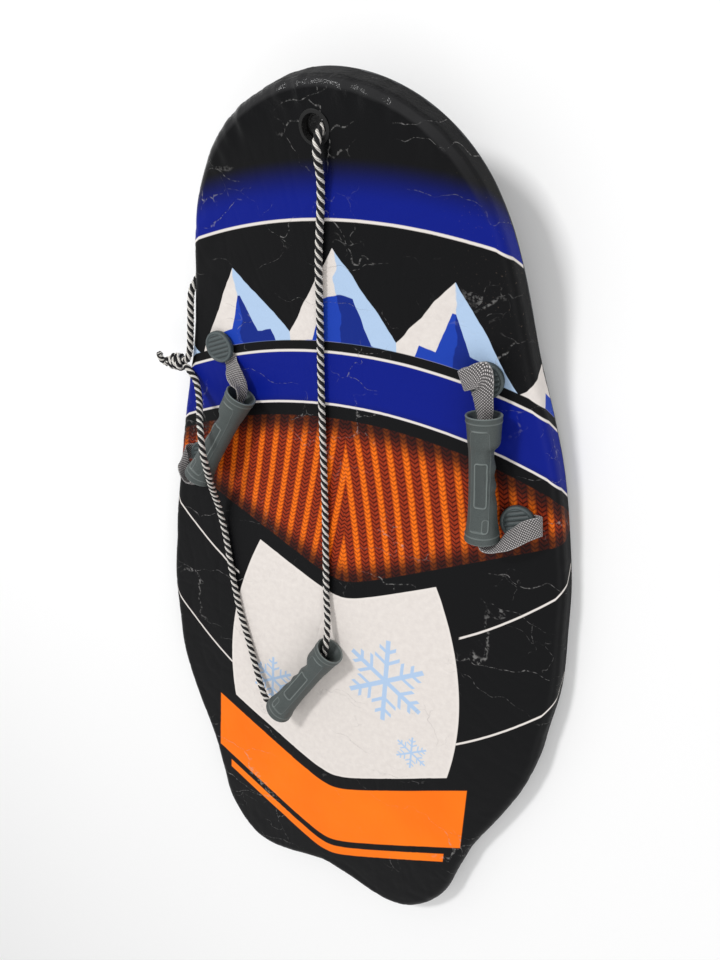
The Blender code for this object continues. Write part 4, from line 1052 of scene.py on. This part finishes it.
def make_grip(node, line, finger_side, top_sign):
    """Moulded grip, whose blank panels face up and down."""
    points, crests = grip_outside(top_sign)
    bore = grip_bore()
    levels = [0.02 + 0.47 * ring / GRIP_RINGS for ring in range(GRIP_RINGS + 1)]
    levels += [0.98 - 0.47 * (1 - ring / BORE_RINGS) for ring in range(BORE_RINGS + 1)]
    faces, corners = ring_strips(GRIP_SEGMENTS, [*levels, 1.0], len(levels))
    place = grip_matrix(line, finger_side)
    placed = [place @ Vector(point) for point in points + bore]
    mesh = mesh_from(node + "_moulding", placed, faces, corners, crests + [0.0] * len(bore))
    link(node + "_moulding", mesh, node, GRIP, "grip_plastic", node)


# Straps

# Each station: place from the anchor (outboard, forward, up) in STRAP_SCALE, width direction, fold in degrees
# and spread of the width
LOWER_CLAMPED = (
    ((-1.25, 0, 0.1), (0, -1, 0)), ((0, 0, 0.1), (0, -1, 0)), ((1.3, 0.02, 0.1), (0.02, -1, 0)),
    ((1.6, 0.04, 0.1), (0.04, -1, 0)),
)
RIGHT_LOWER_STRAP = (
    *LOWER_CLAMPED, ((1.8, 0.05, 0.115), (0.03, -1, 0)), ((2.12, 0.12, 0.35), (0.05, -1, 0)),
    ((2.34, 0.3, 0.9), (0.12, -0.99, -0.05)), ((2.2, 0.48, 1.55), (0.3, -0.95, -0.05)),
    ((1.3, 0.1, 2.1), (0.45, -0.87, 0.15), 3), ((0.05, -0.95, 2.2), (0.4, -0.75, 0.52), 10),
    ((-1.4, -2.1, 1.98), (0.12, -0.35, 0.93), 18), ((-2.55, -2.58, 1.76), (0, 0, 1), 30),
)
LEFT_LOWER_STRAP = (
    *LOWER_CLAMPED, ((1.8, 0.05, 0.115), (0.05, -1, 0)), ((2.1, 0.08, 0.35), (0.1, -1, 0)),
    ((2.3, 0.1, 0.85), (0.2, -0.98, 0)), ((2.2, -0.05, 1.45), (0.3, -0.9, 0.2)),
    ((1.85, -0.7, 1.95), (0.25, -0.6, 0.7), 10), ((1.45, -1.7, 2.2), (0.1, -0.25, 0.95), 15),
    ((0.85, -2.6, 2.35), (0, -0.05, 1), 20), ((0, -2.85, 2.42), (0, 0, 1), 30),
)
RIGHT_UPPER_STRAP = (
    ((1.25, 0, 0.1), (0, 1, 0)), ((0, 0, 0.1), (0, 1, 0)), ((-1.3, 0, 0.1), (0, 1, 0)),
    ((-1.6, 0, 0.1), (0, 1, 0)), ((-1.78, 0, 0.115), (-0.05, 1, 0)), ((-2, -0.05, 0.38), (-0.2, 0.97, 0)),
    ((-2.08, -0.12, 0.92), (-0.37, 0.92, -0.05)), ((-1.82, 0.05, 1.42), (-0.37, 0.92, -0.08)),
    ((-1.2, 0.42, 1.72), (-0.22, 0.95, -0.12), 0, 1.05), ((-0.42, 0.86, 1.88), (-0.02, 0.98, -0.16), 0, 1.2),
    ((0.18, 0.98, 1.94), (0.26, 0.94, -0.18), 0, 1.32), ((0.34, 0.46, 2.02), (0.62, 0.77, -0.1), 0, 1.3),
    ((0.28, -0.36, 2.02), (0.92, 0.38, -0.02), 6, 1.12), ((0.3, -1.2, 1.92), (0.99, 0.1, 0), 14),
    ((0.36, -2, 1.82), (1, 0, 0), 24),
)
LEFT_UPPER_STRAP = (
    ((0.7, 1.03, 0.1), (0.83, -0.56, 0)), ((0, 0, 0.1), (0.83, -0.56, 0)),
    ((-0.72, -1.07, 0.1), (0.83, -0.56, 0)), ((-0.9, -1.33, 0.1), (0.83, -0.56, 0)),
    ((-1.02, -1.5, 0.12), (0.83, -0.56, 0)), ((-1.25, -1.86, 0.35), (0.85, -0.52, 0), 5),
    ((-1.83, -2.42, 0.95), (0.76, -0.5, 0.35), 10), ((-2.56, -3.14, 1.45), (0.45, -0.3, 0.82), 18),
    ((-3.22, -3.85, 1.72), (0.1, -0.05, 0.98), 24),
)
# Share of the grip's length and fold of the stations inside it, from either end
UPPER_INSIDE = ((0.03, 40), (0.12, 60), (0.3, 64), (0.52, 64))
LOWER_INSIDE = ((0.97, 42), (0.88, 60), (0.7, 64), (0.55, 64))
WEBBING_COLUMNS = 20


def strap_station(anchor, outboard, place, width, fold=0, spread=1.0):
    """Station of a strap in the world: place, width direction, fold and spread."""
    out, forward, up = (part * STRAP_SCALE for part in place)
    x, s = anchor
    way = Matrix.Rotation(turn_at(s), 3, "X") @ Vector((outboard * width[0], width[1], width[2]))
    return on_board(x + outboard * out, s + forward, up), way.normalized(), radians(fold), spread


def webbing_section(fold, half):
    """Points (across, up) of a folded webbing's two faces, edge to edge."""
    shares = [-1 + 2 * j / WEBBING_COLUMNS for j in range(WEBBING_COLUMNS + 1)]
    lane = []
    for a in shares:
        bend = sqrt(a * a + 0.02) - sqrt(0.02)
        lane.append((a * half * cos(fold), half * sin(fold) * (bend - 0.45)))
    section = []
    for face_side in (1, -1):
        for j, (across, up) in enumerate(lane):
            before, after = lane[max(j - 1, 0)], lane[min(j + 1, WEBBING_COLUMNS)]
            slope = atan2(after[1] - before[1], after[0] - before[0])
            round_off = min(1.0, sqrt(min(1.0, (1 - abs(shares[j])) / 0.1)) + 0.12)
            offset = face_side * (WEBBING_THICKNESS / 2 * round_off)
            section.append((across - offset * sin(slope), up + offset * cos(slope)))
    return section


def webbing_faces(runs):
    """Quads of a webbing's two faces, edges and ends, with UV corners in metres."""
    lane = WEBBING_COLUMNS + 1
    columns = [(j, WEBBING_WIDTH * j / WEBBING_COLUMNS, WEBBING_WIDTH * (j + 1) / WEBBING_COLUMNS)
               for j in range(WEBBING_COLUMNS)]
    quads = []
    for i, (low, high) in enumerate(zip(runs, runs[1:])):
        first, second = i * 2 * lane, (i + 1) * 2 * lane
        for j, left, right in columns:
            for start, shift in ((j, 0.0), (lane + j, BACK_FACE_SHIFT)):
                quad = (first + start, first + start + 1, second + start + 1, second + start)
                quads.append((quad, box_corners(left + shift, right + shift, low, high)))
        for k, (a, b) in enumerate(((0, lane), (lane - 1, 2 * lane - 1))):
            left = (2 + k) * BACK_FACE_SHIFT
            quads.append(((first + a, first + b, second + b, second + a),
                          box_corners(left, left + WEBBING_THICKNESS, low, high)))
    end_shift = 4 * BACK_FACE_SHIFT
    for k, start in enumerate((0, (len(runs) - 1) * 2 * lane)):
        low = k * WEBBING_WIDTH
        for j, left, right in columns:
            quad = (start + j, start + j + 1, start + lane + j + 1, start + lane + j)
            corners = box_corners(end_shift + left, end_shift + right, low, low + WEBBING_THICKNESS)
            quads.append((quad, corners))
    return zip(*quads)


def webbing_mesh(name, stations):
    """Webbing with rounded edges along stations, its folds rounded too. UV is in metres."""
    walk = even_walk([station[0] for station in stations], 0.0009)
    line = [point for point, _ in walk]
    points = []
    for i, (middle, place) in enumerate(walk):
        near = min(int(place), len(stations) - 2)
        share = place - near
        share = share * share * (3 - 2 * share)
        _, way, fold, spread = stations[near]
        _, next_way, next_fold, next_spread = stations[near + 1]
        across = way.lerp(next_way, share).normalized()
        up = across.cross(way_at(line, i)).normalized()
        half = WEBBING_WIDTH / 2 * (spread * (1 - share) + next_spread * share)
        for a, b in webbing_section(fold * (1 - share) + next_fold * share, half):
            points.append(middle + a * across + b * up)
    return mesh_from(name, points, *webbing_faces(lengths_along(line)))


def make_straps(side, outboard, line, upper_table, lower_table, entry_twist):
    """The two halves of a strap. Each bends from its anchor to the grip's bore, where they meet."""
    lower_mouth, axis = line
    upper_mouth = lower_mouth - axis * GRIP_LENGTH
    place = grip_matrix(line, Vector((outboard, 0.0, 0.0))).to_3x3()
    across = place.col[0].copy()
    upright = place.col[1].copy()
    if upright.z < 0:
        upright.negate()

    def strap(end, table, inside, *replaced):
        stations = [strap_station(ANCHORS[end + "_" + side], outboard, *row) for row in table]
        for share, fold in inside:
            twist = entry_twist + share * (pi / 2 - entry_twist)
            way = cos(twist) * across + sin(twist) * upright
            stations.append((upper_mouth + axis * GRIP_LENGTH * share, way, radians(fold), 1.0))
        name = side + "_strap_" + end
        return link(name, webbing_mesh(name, stations), None, WEBBING, "webbing", *replaced)

    name = side + "_strap_"
    made = strap("upper", upper_table, UPPER_INSIDE, name + "upper_end", name + "middle")
    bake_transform(made)
    made = strap("lower", lower_table, LOWER_INSIDE, name + "lower_end")
    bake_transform(made)


# Rope

LAY_LENGTH = 0.0172
STRAND_MIDDLE = 0.00185
STRAND_RADIUS = 0.0019
KNOT_ENTRY = (-0.2048, 0.6247)
KNOT_TURNS = 2.4
KNOT_STEPS = 28
KNOT_TAIL = metres(
    (-226.5, 627.5, 4), (-230, 623.5, 1), (-234.5, 620, -3), (-240, 621.5, -3.5), (-242.5, 627, -1.5),
    (-240, 632, 1),
)


def rope_mesh(name, points, spacing=0.0013, segments=32):
    """Twisted rope of four strands along a smooth line through points, with its own centre line."""
    line = [point for point, _ in even_walk(points, spacing)]
    runs = lengths_along(line)
    last = len(line) - 1
    side = (line[1] - line[0]).normalized().orthogonal().normalized()
    verts = []
    for i, point in enumerate(line):
        ahead = way_at(line, i)
        side = (side - side.dot(ahead) * ahead).normalized()
        third = ahead.cross(side)
        for share in (k / segments for k in range(segments)):
            off = ((share * 4) % 1.0 - 0.5) * pi / 2
            radius = STRAND_MIDDLE * cos(off) + sqrt(STRAND_RADIUS ** 2 - (STRAND_MIDDLE * sin(off)) ** 2)
            if i in (0, last):
                radius *= 0.93
            angle = 2 * pi * share - 2 * pi * runs[i] / LAY_LENGTH
            verts.append(point + radius * (cos(angle) * side + sin(angle) * third))
    faces, corners = ring_strips(segments, [run / ROPE_UV_SPAN for run in runs], len(line))
    faces.append(tuple(reversed(range(segments))))
    faces.append(tuple(range(last * segments, (last + 1) * segments)))
    return mesh_from(name, verts, faces, corners), line


def make_knot():
    """Bulky overhand knot round both ends of the rope, with a curled tail."""
    x, s = KNOT_ENTRY
    points = []
    for share in (i / KNOT_STEPS for i in range(KNOT_STEPS + 1)):
        angle = 2 * pi * KNOT_TURNS * share + 0.6
        radius = 0.0066 - 0.0008 * share
        points.append(on_board(x - 0.0045 - 0.0135 * share, s + radius * cos(angle),
                               -0.001 + radius * sin(angle)))
    points += [on_board(*point) for point in KNOT_TAIL]
    mesh, _ = rope_mesh("rope_knot", points, 0.0012, 28)
    return link("rope_knot", mesh, "board", ROPE, "rope", "tow_rope_knot")


def lay_rope(name, points, *replaced, **extra):
    """A stretch of rope from the tow hole to the knot."""
    mesh, line = rope_mesh(name, points)
    rope = link(name, mesh, "board", ROPE, "rope", *replaced)


def make_rope():
    front = [on_board(*point) for point in FRONT_ROUTE[:-1] + SIDE_ROUTE]
    back = [on_board(*point) for point in RAIL_ROUTE]
    back += [over_floor(*point) for point in FLOOR_ROUTE]
    back += [on_board(*point) for point in HOLE_ROUTE]
    back.reverse()
    knot = make_knot()
    lay_rope("rope_to_knot", front, "tow_rope_front", "tow_rope_side", with_pieces=[knot])
    lay_rope("rope_under_nose", back, "tow_rope_back")


# Floor, light and colour

FLOOR_REACH = 6.0
FLOOR_WHITE = (0.9, 0.9, 0.9, 1.0)
AMBIENT = 0.62
# Name, place, width, height and power of each lamp, which faces the origin
LAMPS = (("key", (-0.9, 1.3, 2.2), 0.5, 0.3, 36.0), ("fill", (1.6, -1.0, 1.8), 1.6, 1.6, 14.0))


def make_floor():
    mesh = bpy.data.meshes.new("floor")
    corners = box_corners(-FLOOR_REACH, FLOOR_REACH, -FLOOR_REACH, FLOOR_REACH)
    mesh.from_pydata([(x, y, 0.0) for x, y in corners], [], [(0, 1, 2, 3)])
    mesh.materials.append(Finish("floor_white", None, Base_Color=FLOOR_WHITE, Roughness=0.9).made)
    add_object("floor", mesh)


def make_lamps():
    for name, place, width, height, power in LAMPS:
        data = bpy.data.lights.new(name, "AREA")
        data.shape = "RECTANGLE"
        data.size, data.size_y = width, height
        data.energy = power
        lamp = add_object(name, data)
        lamp.location = place
        lamp.rotation_mode = "QUATERNION"
        lamp.rotation_quaternion = (-Vector(place)).to_track_quat("-Z", "Y")


def make_world():
    """White where the camera, a mirror or clear matter sees it, and a dimmer light on the pieces."""
    world = bpy.data.worlds.new("studio")
    bpy.context.scene.world = world
    world.use_nodes = True
    tree = world.node_tree
    rays = tree.nodes.new("ShaderNodeLightPath").outputs
    seen = Value(tree, rays["Is Camera Ray"])
    for other in ("Is Glossy Ray", "Is Transmission Ray"):
        seen = seen.max(Value(tree, rays[other]))
    background = tree.nodes["Background"].inputs
    feed(tree, background["Color"], (1.0, 1.0, 1.0))
    feed(tree, background["Strength"], seen * (1.0 - AMBIENT) + AMBIENT)


left_line = side_grip_line("left", -1, LEFT_GRIP_OFFSETS, LEFT_GRIP_LOW_LIFT)
right_line = side_grip_line("right", 1, RIGHT_GRIP_OFFSETS, 0.0)
leftwards = Vector((-1.0, 0.0, 0.0))
make_board()
make_caps()
make_grip("left_grip", left_line, leftwards, 1)
make_grip("right_grip", right_line, -leftwards, -1)
make_grip("tow_grip", tow_grip_line(), leftwards, 1)
make_straps("left", -1, left_line, LEFT_UPPER_STRAP, LEFT_LOWER_STRAP, pi / 2)
make_straps("right", 1, right_line, RIGHT_UPPER_STRAP, RIGHT_LOWER_STRAP, 0.0)
make_rope()
make_floor()
make_lamps()
make_world()
bpy.context.scene.view_settings.view_transform = "Standard"
